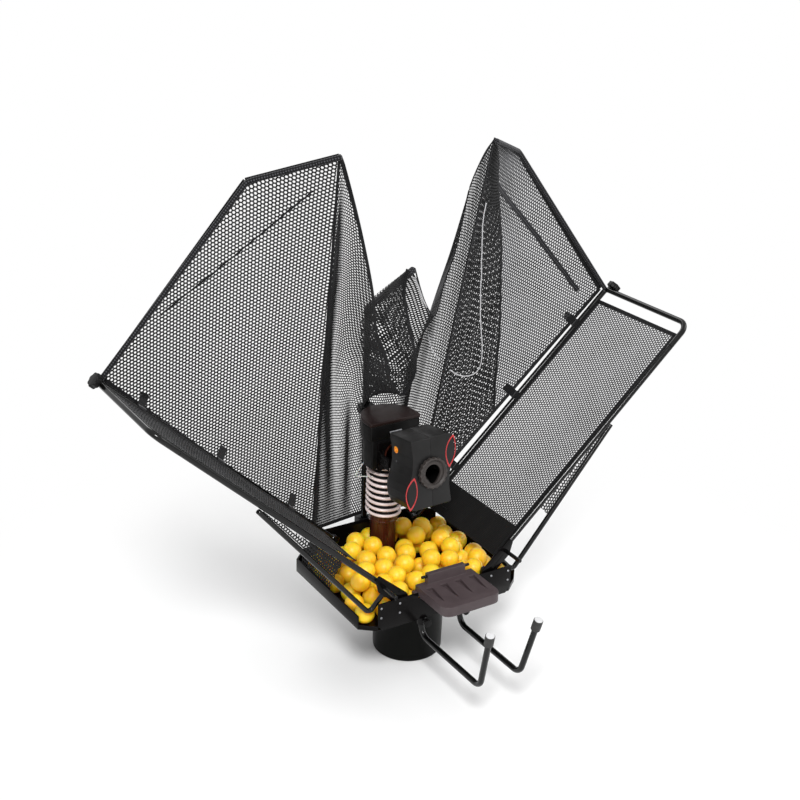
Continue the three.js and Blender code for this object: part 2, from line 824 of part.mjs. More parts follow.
piece('turret_housing', turretHousing(), paint.plastic, turret);
piece('ball_elbow', ballElbow(), paint.pipe, turret);
piece('tilt_bracket', tiltBracket(), paint.steel, turret);

// Tilt cradle: a ring on two trunnions, which the head's collar turns in

const tilt = new THREE.Group();
tilt.position.set(0, tiltPivotY - columnY, elbowAxisRise);
tilt.rotation.x = -THREE.MathUtils.degToRad(headRestTilt);
turret.add(tilt);

function tiltCradle() {
  const y0 = -headBack + fitGap;
  const ring = sleeve(cradleRadius, cradleBore, 0, cradleLength).rotateX(-Math.PI / 2)
    .translate(0, y0, 0);
  const armX = bracketHalfWidth - fitGap;
  const arms = [-1, 1].map((side) => block(Math.min(side * armX, side * (armX - bracketPlate)),
    Math.max(side * armX, side * (armX - bracketPlate)), y0, trunnionRadius * 2,
    -trunnionRadius * 2, trunnionRadius * 2));
  const webs = [-1, 1].map((side) => block(Math.min(side * armX, side * (cradleRadius - sheet)),
    Math.max(side * armX, side * (cradleRadius - sheet)), y0, y0 + cradleLength / 2,
    -trunnionRadius * 2, trunnionRadius * 2));
  const pins = [-1, 1].map((side) => {
    const ends = [side * (armX - bracketPlate / 2), side * (bracketHalfWidth + bracketPlate)];
    return rodAlongX(0, 0, trunnionRadius, Math.min(...ends), Math.max(...ends));
  });
  return shaped(ring, { add: [...arms, ...webs, ...pins] });
}

piece('tilt_cradle', tiltCradle(), paint.steel, tilt);

// Head: two shells, nozzle ring, two motors and two wheels

const head = tilt;

// One side of the outline as shares of the half width and half height; the other side is its
// image turned half a turn about the nozzle's axis.
const headFlankShares = [[0.97, 0.97], [0.9, 0.5], [0.93, 0.2], [1.04, -0.05]];
const headLobeShares = [[0.95, -0.28], [1, -0.5], [0.96, -0.75], [0.84, -1]];

function headOutline() {
  const flank = headFlankShares.map(([x, z]) => [-x * headHalfWidth, z * headHalfHeight]);
  const lobe = headLobeShares.map(([x, z]) => [-x * lobeHalfWidth, z * headHalfHeight]);
  const half = [...flank, ...lobe];
  const other = half.map(([x, z]) => [-x, -z]);
  return [...half, ...other];
}

function headShell(side) {
  const outline = headOutline();
  const outer = wallSlab(plane(outline), -headFront, headFront - headBack);
  const inner = wallSlab(plane(inset(outline, shellWall)), -headFront + shellWall,
    headFront - headBack - 2 * shellWall);
  const reach = 2 * lobeHalfWidth;
  const seam = side * fitGap / 2;
  const away = block(Math.min(seam, -side * reach), Math.max(seam, -side * reach),
    -2 * headFront, headFront, -reach, reach);
  const bore = rodAlongY(0, 0, nozzleBore, -headFront - cutOverrun, cutOverrun);
  const cuts = [inner, away, bore];
  if (side < 0) {
    const windowRise = headHalfHeight * windowRiseShare;
    cuts.push(rodAlongX(-headBack - windowInset, windowRise, windowRadius, -reach, -headHalfWidth / 2,
      boreSides));
  }
  return shaped(outer, { cut: cuts });
}

function nozzleRing() {
  const sides = nozzleBumpCount * 2;
  const rim = [];
  for (let i = 0; i < sides; i++) {
    const a = 2 * Math.PI * i / sides;
    const radius = nozzleRadius - (i % 2) * nozzleBumpDepth;
    rim.push([radius * Math.cos(a), radius * Math.sin(a)]);
  }
  const shape = roundHole(plane(rim), 0, 0, nozzleBore);
  return wallSlab(shape, -headFront - fitGap - nozzleProud, nozzleProud);
}

const wheelOffset = wheelNip / 2 + wheelRadius;
const wheelY = -(headFront + headBack) / 2;

function throwingWheel() {
  const half = wheelWidth / 2;
  const waist = wheelRadius - sheet;
  const bore = axleRadius + fitGap;
  return turned([[bore, -half], [wheelRadius, -half], [waist, 0], [wheelRadius, half],
    [bore, half], [bore, -half]]).rotateY(Math.PI / 2);
}

function wheelMotor() {
  const start = wheelWidth / 2 + 2 * fitGap;
  const end = lobeHalfWidth - shellWall - motorEndClear;
  const body = rodAlongX(0, 0, motorRadius, start, end);
  const axle = rodAlongX(0, 0, axleRadius, -wheelWidth / 2, start + sheet, boreSides);
  return shaped(body, { add: [axle] });
}

for (const side of [-1, 1]) {
  piece(`head_shell_${sideName[side]}`, headShell(side), paint.plastic, head);
  const level = side > 0 ? 'upper' : 'lower';
  const wheel = piece(`throw_wheel_${level}`, throwingWheel(), paint.rubber, head);
  wheel.position.set(0, wheelY, side * wheelOffset);
  const motor = piece(`throw_motor_${level}`, sided(wheelMotor(), side), paint.motor, head);
  motor.position.set(0, wheelY, side * wheelOffset);
}
piece('nozzle_ring', nozzleRing(), paint.moulding, head);

// Hooks: bush, thumb screw, bent tube and pad

function hookParts(side) {
  const hook = new THREE.Group();
  hook.position.set(side * hookX, hookLegY, 0);
  product.add(hook);
  const tipBase = point(0, -hookReach - hookLegY, -hookRunDrop);
  const tipTop = point(hookTipSplay, tipBase.y - hookTipForward, hookTipTop);
  const lean = tipTop.clone().sub(tipBase).normalize();
  const tubeEnd = tipTop.clone().addScaledVector(lean, -padCap - fitGap);
  const corners = [point(0, 0, hookLegTop), point(0, 0, -hookRunDrop), tipBase, tubeEnd];
  piece(`hook_${sideName[side]}`, sided(tube(corners, hookTubeRadius, hookBend, hookSides), side),
    paint.steel, hook);
  const bore = hookTubeRadius + fitGap;
  const skirt = padCap - padHeight;
  const pad = turned([[0, 0], [bore, 0], [bore, skirt], [padRadius, skirt],
    [padRadius, padCap - padEdge], [padRadius - padEdge, padCap], [0, padCap]]);
  const padMesh = piece(`hook_pad_${sideName[side]}`, pad, paint.pad, hook);
  const padSeat = tubeEnd.clone().addScaledVector(lean, fitGap);
  padMesh.position.set(side * padSeat.x, padSeat.y, padSeat.z);
  const padLean = point(side * lean.x, lean.y, lean.z);
  padMesh.quaternion.setFromUnitVectors(point(0, 0, 1), padLean);
  const flangeZ = trayFloorTop + fitGap;
  const bush = turned([[bore, bushFoot], [bushRadius, bushFoot], [bushRadius, flangeZ],
    [bushFlangeRadius, flangeZ], [bushFlangeRadius, flangeZ + sheet], [bushRadius, flangeZ + sheet],
    [bushRadius, bushTop], [bore, bushTop], [bore, bushFoot]]);
  piece(`hook_bush_${sideName[side]}`, bush, paint.plastic, hook);
  const y0 = -bushRadius - fitGap;
  const screw = rodAlongY(0, -screwDrop, screwRadius, y0 - screwLength - sheet, y0, boreSides);
  const knob = rodAlongY(0, -screwDrop, screwKnobRadius, y0 - screwLength - screwKnobLength,
    y0 - screwLength, boreSides);
  piece(`hook_screw_${sideName[side]}`, shaped(knob, { add: [screw] }), paint.plastic, hook);
}

// Wings, drawn for the right side with X along the rails and Z square to the wing's floor

const railEnd = wingReach - bowLeg;

function wingRail(railY) {
  const eye = rodAlongY(0, 0, eyeRadius, railY - railRadius, railY + railRadius);
  const bar = tube([point(hingePinRadius + fitGap, railY, 0), point(railEnd, railY, 0)], railRadius);
  const bore = rodAlongY(0, 0, hingePinRadius + fitGap, railY - eyeRadius, railY + eyeRadius);
  return shaped(eye, { add: [bar], cut: [bore] });
}

function endBow() {
  return tube([point(railEnd + fitGap, frontRailY, 0), point(wingReach, frontRailY, 0),
    point(wingReach, backRailY, 0), point(railEnd + fitGap, backRailY, 0)], railRadius,
  [bowBend, cornerBend]);
}

function wingStrut() {
  const seat = railRadius + fitGap;
  return tube([point(strutU, frontRailY, -seat), point(strutU, frontRailY, -strutDrop),
    point(strutMeet, frontRailY, -seat - strutRadius)], strutRadius, strutRadius * 2);
}

function hingeGusset() {
  const y = frontRailY - railRadius - fitGap - sheet;
  const w = gussetHalfWidth;
  const outline = plane([[-w, -w / 2], [0, -w], [gussetLength * gussetFlatShare, -w], [gussetLength, 0],
    [gussetLength, w * gussetTipShare], [0, w], [-w, w / 2]]);
  roundHole(outline, 0, 0, hingePinRadius + fitGap);
  return wallSlab(outline, y, sheet);
}

function netRod() {
  const foot = railRadius + fitGap;
  return tube([point(wingReach - cornerBend / 4, backRailY - cornerBend / 4, foot),
    point(wingReach + rodBendLean, backRailY - rodBendForward, rodBendHeight),
    point(wingReach - rodApexInset, backRailY - rodApexForward, rodApexHeight)], rodRadius, rodBend);
}

function rodKnob() {
  const start = wingReach + railRadius + fitGap;
  return rodAlongX(backRailY - knobRadius, 0, knobRadius, start, start + knobLength, boreSides);
}

// Nets

// A net of square gaps over a curved patch: place(s, t) gives its middle surface.
function netOver(place, columns, rows, solidColumns = 0) {
  const places = [];
  const index = [];
  const normalAt = (s, t) => {
    const e = 1e-3;
    const along = place(Math.min(s + e, 1), t).sub(place(Math.max(s - e, 0), t));
    const across = place(s, Math.min(t + e, 1)).sub(place(s, Math.max(t - e, 0)));
    return along.cross(across).normalize();
  };
  const vertex = (s, t, layer) => {
    const spot = place(s, t).addScaledVector(normalAt(s, t), layer * netThickness / 2);
    places.push(spot.x, spot.y, spot.z);
    return places.length / 3 - 1;
  };
  const corner = [1, -1].map((layer) => {
    const grid = [];
    for (let i = 0; i <= columns; i++) {
      grid.push([]);
      for (let k = 0; k <= rows; k++) grid[i].push(vertex(i / columns, k / rows, layer));
    }
    return grid;
  });
  const quad = (a, b, c, d) => index.push(a, b, c, a, c, d);
  for (let i = 0; i < columns; i++) {
    for (let k = 0; k < rows; k++) {
      const outer = corner.map((grid) => [grid[i][k], grid[i + 1][k], grid[i + 1][k + 1], grid[i][k + 1]]);
      if (i < solidColumns) {
        quad(...outer[0]);
        quad(...outer[1].slice().reverse());
        continue;
      }
      const inner = [1, -1].map((layer) => [[0, 0], [1, 0], [1, 1], [0, 1]].map(([a, b]) => {
        const s = (i + a + (a ? -strandShare : strandShare)) / columns;
        const t = (k + b + (b ? -strandShare : strandShare)) / rows;
        return vertex(s, t, layer);
      }));
      for (let n = 0; n < 4; n++) {
        const m = (n + 1) % 4;
        quad(outer[0][n], outer[0][m], inner[0][m], inner[0][n]);
        quad(outer[1][m], outer[1][n], inner[1][n], inner[1][m]);
        quad(inner[0][n], inner[0][m], inner[1][m], inner[1][n]);
      }
    }
  }
  const edge = (a, b) => quad(corner[0][a[0]][a[1]], corner[1][a[0]][a[1]],
    corner[1][b[0]][b[1]], corner[0][b[0]][b[1]]);
  for (let i = 0; i < columns; i++) {
    edge([i, 0], [i + 1, 0]);
    edge([i + 1, rows], [i, rows]);
  }
  for (let k = 0; k < rows; k++) {
    edge([columns, k], [columns, k + 1]);
    edge([0, k + 1], [0, k]);
  }
  const geometry = new THREE.BufferGeometry();
  geometry.setAttribute('position', new THREE.Float32BufferAttribute(places, 3));
  geometry.setIndex(index);
  return geometry;
}

// A patch spanned by four edges that meet at its corners.
function patch(bottom, top, left, right) {
  return (s, t) => {
    const sides = left(t).multiplyScalar(1 - s).addScaledVector(right(t), s);
    const ends = bottom(s).multiplyScalar(1 - t).addScaledVector(top(s), t);
    const low = bottom(0).multiplyScalar(1 - s).addScaledVector(bottom(1), s);
    const high = top(0).multiplyScalar(1 - s).addScaledVector(top(1), s);
    return sides.add(ends).sub(low.multiplyScalar(1 - t).addScaledVector(high, t));
  };
}

function line(a, b) {
  return (s) => a.clone().lerp(b, s);
}

// Two straight runs whose knee lies at the given share.
function knee(a, middle, b, share) {
  return (s) => (s < share ? a.clone().lerp(middle, s / share)
    : middle.clone().lerp(b, (s - share) / (1 - share)));
}

function floorNet() {
  const margin = railRadius + fitGap;
  const y0 = frontRailY + margin;
  const y1 = backRailY - margin;
  const place = (s, t) => point(floorNetStart + (floorNetEnd - floorNetStart) * s,
    y0 + (y1 - y0) * t, -floorNetSag * Math.sin(Math.PI * t) * Math.sin(Math.PI * s));
  return netOver(place, floorNetColumns, floorNetRows, 1);
}

const wingTurn = THREE.MathUtils.degToRad(wingRestAngle);

function intoWing(x, y, z) {
  const dx = x - hingeX;
  const dz = z - hingeRise;
  return point(dx * Math.cos(wingTurn) + dz * Math.sin(wingTurn), y,
    dz * Math.cos(wingTurn) - dx * Math.sin(wingTurn));
}

function outOfWing(u, y, v) {
  return point(hingeX + u * Math.cos(wingTurn) - v * Math.sin(wingTurn), y,
    hingeRise + u * Math.sin(wingTurn) + v * Math.cos(wingTurn));
}

function backNet() {
  const foot = intoWing(backNetFootX, backNetFootY, backNetFootRise);
  const outer = point(wingReach - cornerBend, backRailY + backNetInset, backNetInset);
  const bendPoint = point(wingReach + rodBendLean, backRailY - rodBendForward + backNetInset,
    rodBendHeight);
  const apex = point(wingReach - rodApexInset, backRailY - rodApexForward + backNetInset, rodApexHeight);
  return netOver(patch(line(foot, outer), line(apex, bendPoint), line(foot, apex),
    line(outer, bendPoint)), backNetColumns, backNetRows);
}

// The inner net hangs from the seam to the pole, with a free top edge that dips in the middle.
function innerNet() {
  const seamFoot = point(innerNetFootX, innerNetFootY, innerNetFootRise);
  const apex = outOfWing(wingReach - rodApexInset, backRailY - rodApexForward + backNetInset,
    rodApexHeight).add(point(-backNetInset, 0, -backNetInset));
  const blockX = footBlockHalfWidth + fitGap + netThickness / 2;
  const armX = poleRadius + fitGap + netThickness / 2;
  const poleBase = point(blockX, poleY, trayRimRise * 2);
  const poleKnee = point(blockX, poleY, poleTop + poleRadius);
  const armTip = point(armX, armApexY + poleRadius, armApexRise);
  const dip = point((apex.x + armX) / 2, (apex.y + armTip.y) / 2 + innerNetDipForward, innerNetDip);
  const top = (s) => {
    const hang = 4 * s * (1 - s);
    const level = apex.clone().lerp(armTip, s);
    const middle = apex.clone().lerp(armTip, 0.5);
    return level.add(dip.clone().sub(middle).multiplyScalar(hang));
  };
  return netOver(patch(line(seamFoot, poleBase), top, line(seamFoot, apex),
    knee(poleBase, poleKnee, armTip, innerNetKneeShare)), innerNetColumns, innerNetRows);
}

function wingParts(side) {
  const wing = new THREE.Group();
  wing.position.set(side * hingeX, 0, hingeRise);
  wing.rotation.y = -side * wingTurn;
  product.add(wing);
  const add = (name, geometry, material) => piece(`${name}_${sideName[side]}`,
    sided(geometry, side), material, wing);
  add('front_rail', wingRail(frontRailY), paint.steel);
  add('back_rail', wingRail(backRailY), paint.steel);
  add('end_bow', endBow(), paint.steel);
  add('wing_strut', wingStrut(), paint.steel);
  add('hinge_gusset', hingeGusset(), paint.steel);
  add('net_rod', netRod(), paint.net);
  add('rod_knob', rodKnob(), paint.plastic);
  add('floor_net', floorNet(), paint.net);
  add('back_net', backNet(), paint.net);
  piece(`inner_net_${sideName[side]}`, sided(innerNet(), side), paint.net);
}

for (const side of [-1, 1]) {
  hookParts(side);
  wingParts(side);
}

// Ball load: a heap in layers. Balls that only lie under others are left out, and each ball is
// joined to its nearest earlier neighbour by a thin neck, so the heap is one solid.

function clearOfPieces(place, layer) {
  const aside = Math.abs(place.x);
  const reach = ballRadius + sheet + fitGap;
  const toBackCorner = (trayHalfWidth + trayDepth - trayChamfer - aside - place.y) / Math.SQRT2;
  const toFrontCorner = ((trayHalfWidth - aside) * tubCorner + (place.y - sheet - fitGap) * tubOverhang)
    / Math.hypot(tubCorner, tubOverhang);
  if (toBackCorner < reach || toFrontCorner < reach) return false;
  const fromColumn = Math.hypot(place.x, place.y - columnY);
  if (fromColumn < collarRadius + ballRadius + fitGap) return false;
  const fromLeg = Math.hypot(Math.abs(place.x) - hookX, place.y - hookLegY);
  if (fromLeg < bushFlangeRadius + ballRadius + fitGap) return false;
  const underStrut = place.y < frontRailY + strutRadius + ballRadius + fitGap;
  if (underStrut && aside > hingeX) return false;
  const nearBackRail = place.y > backRailY - eyeRadius - ballRadius;
  return !(layer > 0 && nearBackRail && Math.abs(place.x) > hingeX - eyeRadius - ballRadius);
}

function heapPlaces() {
  const places = [];
  const rowPitch = heapPitch * Math.sqrt(3) / 2;
  for (let layer = 0; layer < heapLayers; layer++) {
    const z = trayFloorTop + fitGap + ballRadius + layer * heapPitch * heapLayerShare;
    const margin = ballRadius + sheet + fitGap + layer * heapPitch * heapStepShare;
    const x1 = tubHalfWidth - margin;
    const y0 = sheet + margin;
    const y1 = trayDepth - margin;
    const rows = Math.floor((y1 - y0) / rowPitch);
    for (let row = 0; row <= rows; row++) {
      const across = Math.floor(2 * x1 / heapPitch) - (row % 2);
      for (let i = 0; i <= across; i++) {
        const place = point((i - across / 2) * heapPitch, y0 + row * rowPitch, z);
        const onRim = row === 0 || i === 0 || i === across;
        const shown = onRim || layer === heapLayers - 1;
        if (shown && clearOfPieces(place, layer)) places.push(place);
      }
    }
  }
  return places;
}

function ballLoad() {
  const places = heapPlaces();
  const sphere = new THREE.SphereGeometry(ballRadius, heapSegments, heapRings);
  const pieces = places.map((place) => sphere.clone().translate(place.x, place.y, place.z));
  for (let i = 1; i < places.length; i++) {
    const earlier = places.slice(0, i).sort((a, b) => a.distanceTo(places[i]) - b.distanceTo(places[i]));
    pieces.push(tube([earlier[0], places[i]], heapNeckRadius, 0, 4));
  }
  return shaped(pieces[0], { add: pieces.slice(1) });
}

piece('ball_load', ballLoad(), paint.balls);

export default product;
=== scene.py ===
import math

import bmesh
import bpy
import numpy as np
from mathutils import Matrix, Vector


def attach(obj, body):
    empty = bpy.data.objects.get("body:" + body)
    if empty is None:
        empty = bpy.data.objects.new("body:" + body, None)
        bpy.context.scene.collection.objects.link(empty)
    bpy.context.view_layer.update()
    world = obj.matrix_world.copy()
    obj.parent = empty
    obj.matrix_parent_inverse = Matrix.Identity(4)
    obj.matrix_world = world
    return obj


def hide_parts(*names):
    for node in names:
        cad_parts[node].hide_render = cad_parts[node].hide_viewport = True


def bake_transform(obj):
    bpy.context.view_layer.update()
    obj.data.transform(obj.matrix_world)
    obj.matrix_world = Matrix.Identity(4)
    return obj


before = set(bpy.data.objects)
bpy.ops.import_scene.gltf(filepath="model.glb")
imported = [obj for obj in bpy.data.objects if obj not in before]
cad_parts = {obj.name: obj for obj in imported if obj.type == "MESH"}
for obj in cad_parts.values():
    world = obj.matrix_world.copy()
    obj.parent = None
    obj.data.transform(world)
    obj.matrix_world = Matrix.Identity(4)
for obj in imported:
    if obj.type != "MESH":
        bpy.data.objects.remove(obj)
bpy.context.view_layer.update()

MM = 0.001
TURN = 2 * math.pi
SIDES = {-1: "left", 1: "right"}
UP = np.array([0.0, 0.0, 1.0])

# Camera: worked out from mirrored points of the photograph, scaled by its 40 mm balls
CAMERA_PLACE = np.array([-1303.18, -1878.84, 1356.21])
CAMERA_AZIMUTH, CAMERA_ELEVATION, CAMERA_ROLL = (math.radians(a) for a in (-32.168, 22.707, 1.593))
FOCAL_PIXELS, PICTURE_PIXELS, SENSOR_WIDTH = 1329.36, 800, 36.0


def camera_axes():
    a, e = CAMERA_AZIMUTH, CAMERA_ELEVATION
    c, s = math.cos(CAMERA_ROLL), math.sin(CAMERA_ROLL)
    ahead = np.array([-math.sin(a) * math.cos(e), math.cos(a) * math.cos(e), -math.sin(e)])
    level = np.array([math.cos(a), math.sin(a), 0.0])
    rise = np.cross(level, ahead)
    return c * level + s * rise, c * rise - s * level, ahead


RIGHT, ABOVE, AHEAD = camera_axes()
HALF_PICTURE = PICTURE_PIXELS / 2


def seen_on(pixel, spot, normal):
    """The point of a plane that the photograph shows at a pixel."""
    ray = (RIGHT * (pixel[0] - HALF_PICTURE) / FOCAL_PIXELS
           - ABOVE * (pixel[1] - HALF_PICTURE) / FOCAL_PIXELS + AHEAD)
    return CAMERA_PLACE + ray * (np.dot(np.asarray(spot) - CAMERA_PLACE, normal) / np.dot(ray, normal))


def seen_behind(pixel, depth):
    """The point that the photograph shows at a pixel, where it lies at a depth along Y."""
    return seen_on(pixel, at(0, depth, 0), at(0, 1, 0))


def seen_pixel(points):
    """Where the photograph shows points: pixels in the last axis."""
    ray = np.asarray(points) - CAMERA_PLACE
    ahead = ray @ AHEAD
    return np.stack([HALF_PICTURE + FOCAL_PIXELS * (ray @ RIGHT) / ahead,
                     HALF_PICTURE - FOCAL_PIXELS * (ray @ ABOVE) / ahead], axis=-1)


def place_camera():
    camera = bpy.data.objects.new("camera", bpy.data.cameras.new("camera"))
    camera.data.sensor_width = SENSOR_WIDTH
    camera.data.lens = FOCAL_PIXELS * SENSOR_WIDTH / PICTURE_PIXELS
    camera.data.clip_end = 100
    turn = Matrix.Identity(4)
    for column, axis in enumerate((RIGHT, ABOVE, -AHEAD)):
        for row in range(3):
            turn[row][column] = axis[row]
    turn.translation = Vector(CAMERA_PLACE * MM)
    camera.matrix_world = turn
    bpy.context.scene.collection.objects.link(camera)
    bpy.context.scene.camera = camera


place_camera()

# Finishes: the materials that the pieces are given


def linear(code):
    """An sRGB hex colour as linear values."""
    parts = [int(code[i:i + 2], 16) / 255 for i in (1, 3, 5)]
    return (*[p / 12.92 if p <= 0.04045 else ((p + 0.055) / 1.055) ** 2.4 for p in parts], 1.0)


def add(tree, kind, inputs=None, **settings):
    """A node with its settings and its links; an input that is a node stands for its first output."""
    made = tree.nodes.new(kind)
    for name, value in settings.items():
        setattr(made, name, value)
    for name, value in (inputs or {}).items():
        value = value.outputs[0] if isinstance(value, bpy.types.Node) else value
        if isinstance(value, bpy.types.NodeSocket):
            tree.links.new(value, made.inputs[name])
        else:
            made.inputs[name].default_value = value
    return made


def blank(name):
    material = bpy.data.materials.new(name)
    material.use_nodes = True
    material.node_tree.nodes.clear()
    return material, material.node_tree


def finished(material, mask, colours, height, depth, sockets):
    """Two colours mixed by a mask, over a relief that is depth mm deep."""
    tree, ends = material.node_tree, [linear(code) for code in colours.split()]
    colour = add(tree, "ShaderNodeMix", {0: mask, 6: ends[0], 7: ends[1]}, data_type="RGBA")
    bump = add(tree, "ShaderNodeBump", {"Height": height, "Distance": depth * MM})
    shader = add(tree, "ShaderNodeBsdfPrincipled", {"Base Color": colour.outputs[2], "Normal": bump, **sockets})
    add(tree, "ShaderNodeOutputMaterial", {"Surface": shader})
    return material


def surface_of(name, colours, patch, roughness, grain, depth, level=0.5, ior=1.5,
               stretch=(1, 1, 1), sockets=None):
    """Two colours in patches, a roughness that wanders between two values, and a relief, in mm."""
    material, tree = blank(name)
    place = add(tree, "ShaderNodeTexCoord").outputs["Object"]
    run = add(tree, "ShaderNodeMapping", {"Vector": place, "Scale": stretch})
    patches, wander, relief = (
        add(tree, "ShaderNodeTexNoise", {"Vector": run, "Scale": scale / MM, "Detail": detail})
        for scale, detail in ((1 / patch, 2.0), (2 / patch, 1.0), (1 / grain, 2.0)))
    rough = add(tree, "ShaderNodeMapRange", {"Value": wander, "From Min": 0.35, "From Max": 0.65,
                                             "To Min": roughness[0], "To Max": roughness[1]})
    return finished(material, patches, colours, relief, depth,
                    {"Roughness": rough, "IOR": ior, "Specular IOR Level": level, **(sockets or {})})


# Stove-enamelled steel: a baked black coat flows a little, so its sharp reflections waver.
enamel = surface_of("stove_enamelled_steel", "#060505 #0c0a0a", 45, (0.17, 0.26), 5.0, 0.01, 0.09)
# Enamelled tube: drawn along its run, with sharper lights than the pressed sheet.
enamel_tube = surface_of("stove_enamelled_tube", "#040404 #080808", 60, (0.13, 0.2), 8.0, 0.005,
                         0.3)
# Moulded ABS with a spark-eroded texture: a dull black that spreads its highlights.
abs_textured = surface_of("spark_eroded_abs", "#080808 #0e0d0d", 30, (0.36, 0.46), 0.9, 0.012,
                          0.13, 1.53)
# Moulded ABS from a polished tool: smoother, with a soft sheen.
abs_polished = surface_of("polished_abs", "#151515 #1c1b1b", 40, (0.3, 0.38), 1.2, 0.002, 0.2, 1.53)
# Cover of the control box: the same ABS in a brown-black batch.
abs_cover = surface_of("brown_black_abs", "#1a1110 #231716", 40, (0.28, 0.36), 1.2, 0.002, 0.16, 1.53)
# Soft-touch coating of the nozzle's grip: a paler, dry charcoal.
soft_touch = surface_of("soft_touch_coating", "#2b2725 #383230", 12, (0.5, 0.62), 0.8, 0.02, 0.35)
# Glass-filled nylon of the tongue: brown-black, with a coarse matt grain.
nylon_grained = surface_of("glass_filled_nylon", "#3a3032 #493e40", 22, (0.4, 0.5), 1.3, 0.03,
                           0.35, 1.53)
# Blow-moulded polyethylene of the drum: waxy black, drawn into faint upright waves.
polyethylene = surface_of("blow_moulded_polyethylene", "#050605 #0a0b09", 50, (0.3, 0.38), 9.0,
                          0.04, 0.06, 1.54, (1, 1, 0.25))
# Extruded pipe: dark red-brown and glossy, with faint lines along the extrusion.
pipe_brown = surface_of("extruded_brown_pipe", "#2e100a #451c10", 25, (0.22, 0.34), 2.0, 0.05,
                        0.5, 1.53, (1, 1, 0.08))
# Vulcanised rubber: matt, with a bloom of grey dust.
rubber = surface_of("vulcanised_rubber", "#0d0d0d #1d1c1b", 8, (0.62, 0.85), 0.8, 0.12, 0.25, 1.52)
# Rubber of the hook pads: a little worn and lighter.
pad_rubber = surface_of("worn_pad_rubber", "#161616 #2c2b2a", 6, (0.4, 0.55), 0.8, 0.06, 0.4, 1.52)
# Top of a hook pad: a black glossy cap, its strong highlight painted in as a pale grey colour.
painted_highlight_pad_top = surface_of("pad_top_painted_highlight", "#b9b9ba #dededf", 5, (0.3, 0.45), 0.7, 0.05, 0.5, 1.52)
# Dip-coated spring wire: white with a warm cast from the balls below.
spring_coat = surface_of("dip_coated_spring_wire", "#efe2e0 #dcc8c6", 7, (0.24, 0.36), 1.5, 0.06,
                         sockets={"Coat Weight": 0.3, "Coat Roughness": 0.1})
# Drawn steel can of a motor: fine scratches round it.
motor_can = surface_of("drawn_steel_can", "#8f8f8c #a8a8a5", 20, (0.28, 0.42), 0.6, 0.04,
                       stretch=(1, 1, 6), sockets={"Metallic": 1.0, "Anisotropic": 0.5})
# Printed film of the ring decals: a flat saturated red under a thin gloss.
decal_film = surface_of("printed_red_film", "#9a1115 #b81a1d", 6, (0.25, 0.35), 0.9, 0.01,
                        ior=1.49, sockets={"Coat Weight": 0.4})
# Amber acrylic window: light runs into it and glows at its rim.
amber = surface_of("amber_acrylic", "#f0861c #ff9f2e", 5, (0.12, 0.2), 2.0, 0.02, ior=1.49,
                   sockets={"Subsurface Weight": 0.5, "Subsurface Scale": 0.004})
# Turned brass rivet, dulled by handling.
brass = surface_of("dulled_brass", "#a07c3c #c79f58", 3, (0.25, 0.42), 0.6, 0.03,
                   sockets={"Metallic": 1.0})
# Zinc-plated steel of screws and rivets.
zinc = surface_of("zinc_plated_steel", "#7c7d80 #9a9b9e", 3, (0.25, 0.42), 0.6, 0.03,
                  sockets={"Metallic": 1.0})
# Nylon cable tie: translucent white.
nylon_tie = surface_of("white_nylon_tie", "#eeeeea #dcdcd6", 4, (0.3, 0.42), 0.8, 0.03, ior=1.53,
                       sockets={"Subsurface Weight": 0.2, "Subsurface Scale": 0.002})
# Painted deck and small pressings inside the machine.
primer = surface_of("grey_primer", "#3a3a3b #4a4a4a", 18, (0.5, 0.62), 1.2, 0.05)


def yarn_of(name, colours, roughness, sheen):
    """Knitted polyester yarn: filaments a fraction of a millimetre wide, drawn coarser to show."""
    material, tree = blank(name)
    place = add(tree, "ShaderNodeTexCoord").outputs["Object"]
    fibres, bleach = (add(tree, "ShaderNodeTexNoise", {"Vector": place, "Scale": 1 / (size * MM), "Detail": detail})
                      for size, detail in ((1.2, 3.0), (70, 2.0)))
    both = add(tree, "ShaderNodeMath", {0: fibres, 1: bleach}, operation="MULTIPLY")
    spread = add(tree, "ShaderNodeMapRange", {"Value": both, "From Min": 0.15, "From Max": 0.38})
    return finished(material, spread, colours, fibres, 0.35, {
        "Roughness": roughness, "Specular IOR Level": 0.2, "Sheen Weight": sheen, "Sheen Roughness": 0.4,
        "Sheen Tint": linear("#d9d9dc")})


def weave_of(name, colours, thread, roughness, sheen, specks=0.5):
    """Woven tape or cloth on its own weave map: warp and weft threads, thread mm apart."""
    material, tree = blank(name)
    place, bands = add(tree, "ShaderNodeUVMap", uv_map="weave"), 1 / (thread * MM)
    warp, weft = (add(tree, "ShaderNodeTexWave", {"Vector": place, "Scale": bands / 6.28, "Distortion": 1.5,
                                                  "Detail": 1.0}, bands_direction=way).outputs["Fac"]
                  for way in "XY")
    cross = add(tree, "ShaderNodeMath", {0: warp, 1: weft}, operation="MULTIPLY")
    fuzz = add(tree, "ShaderNodeTexNoise", {"Vector": place, "Scale": bands * 0.7, "Detail": 3.0})
    level = add(tree, "ShaderNodeMath", {0: cross, 1: fuzz}, operation="MULTIPLY")
    spread = add(tree, "ShaderNodeMapRange", {"Value": level, "From Min": 0.1, "From Max": specks})
    return finished(material, spread, colours, cross, 0.4, {
        "Roughness": roughness, "Specular IOR Level": 0.15, "Sheen Weight": sheen, "Sheen Roughness": 0.5,
        "Sheen Tint": linear("#c9c9cc")})


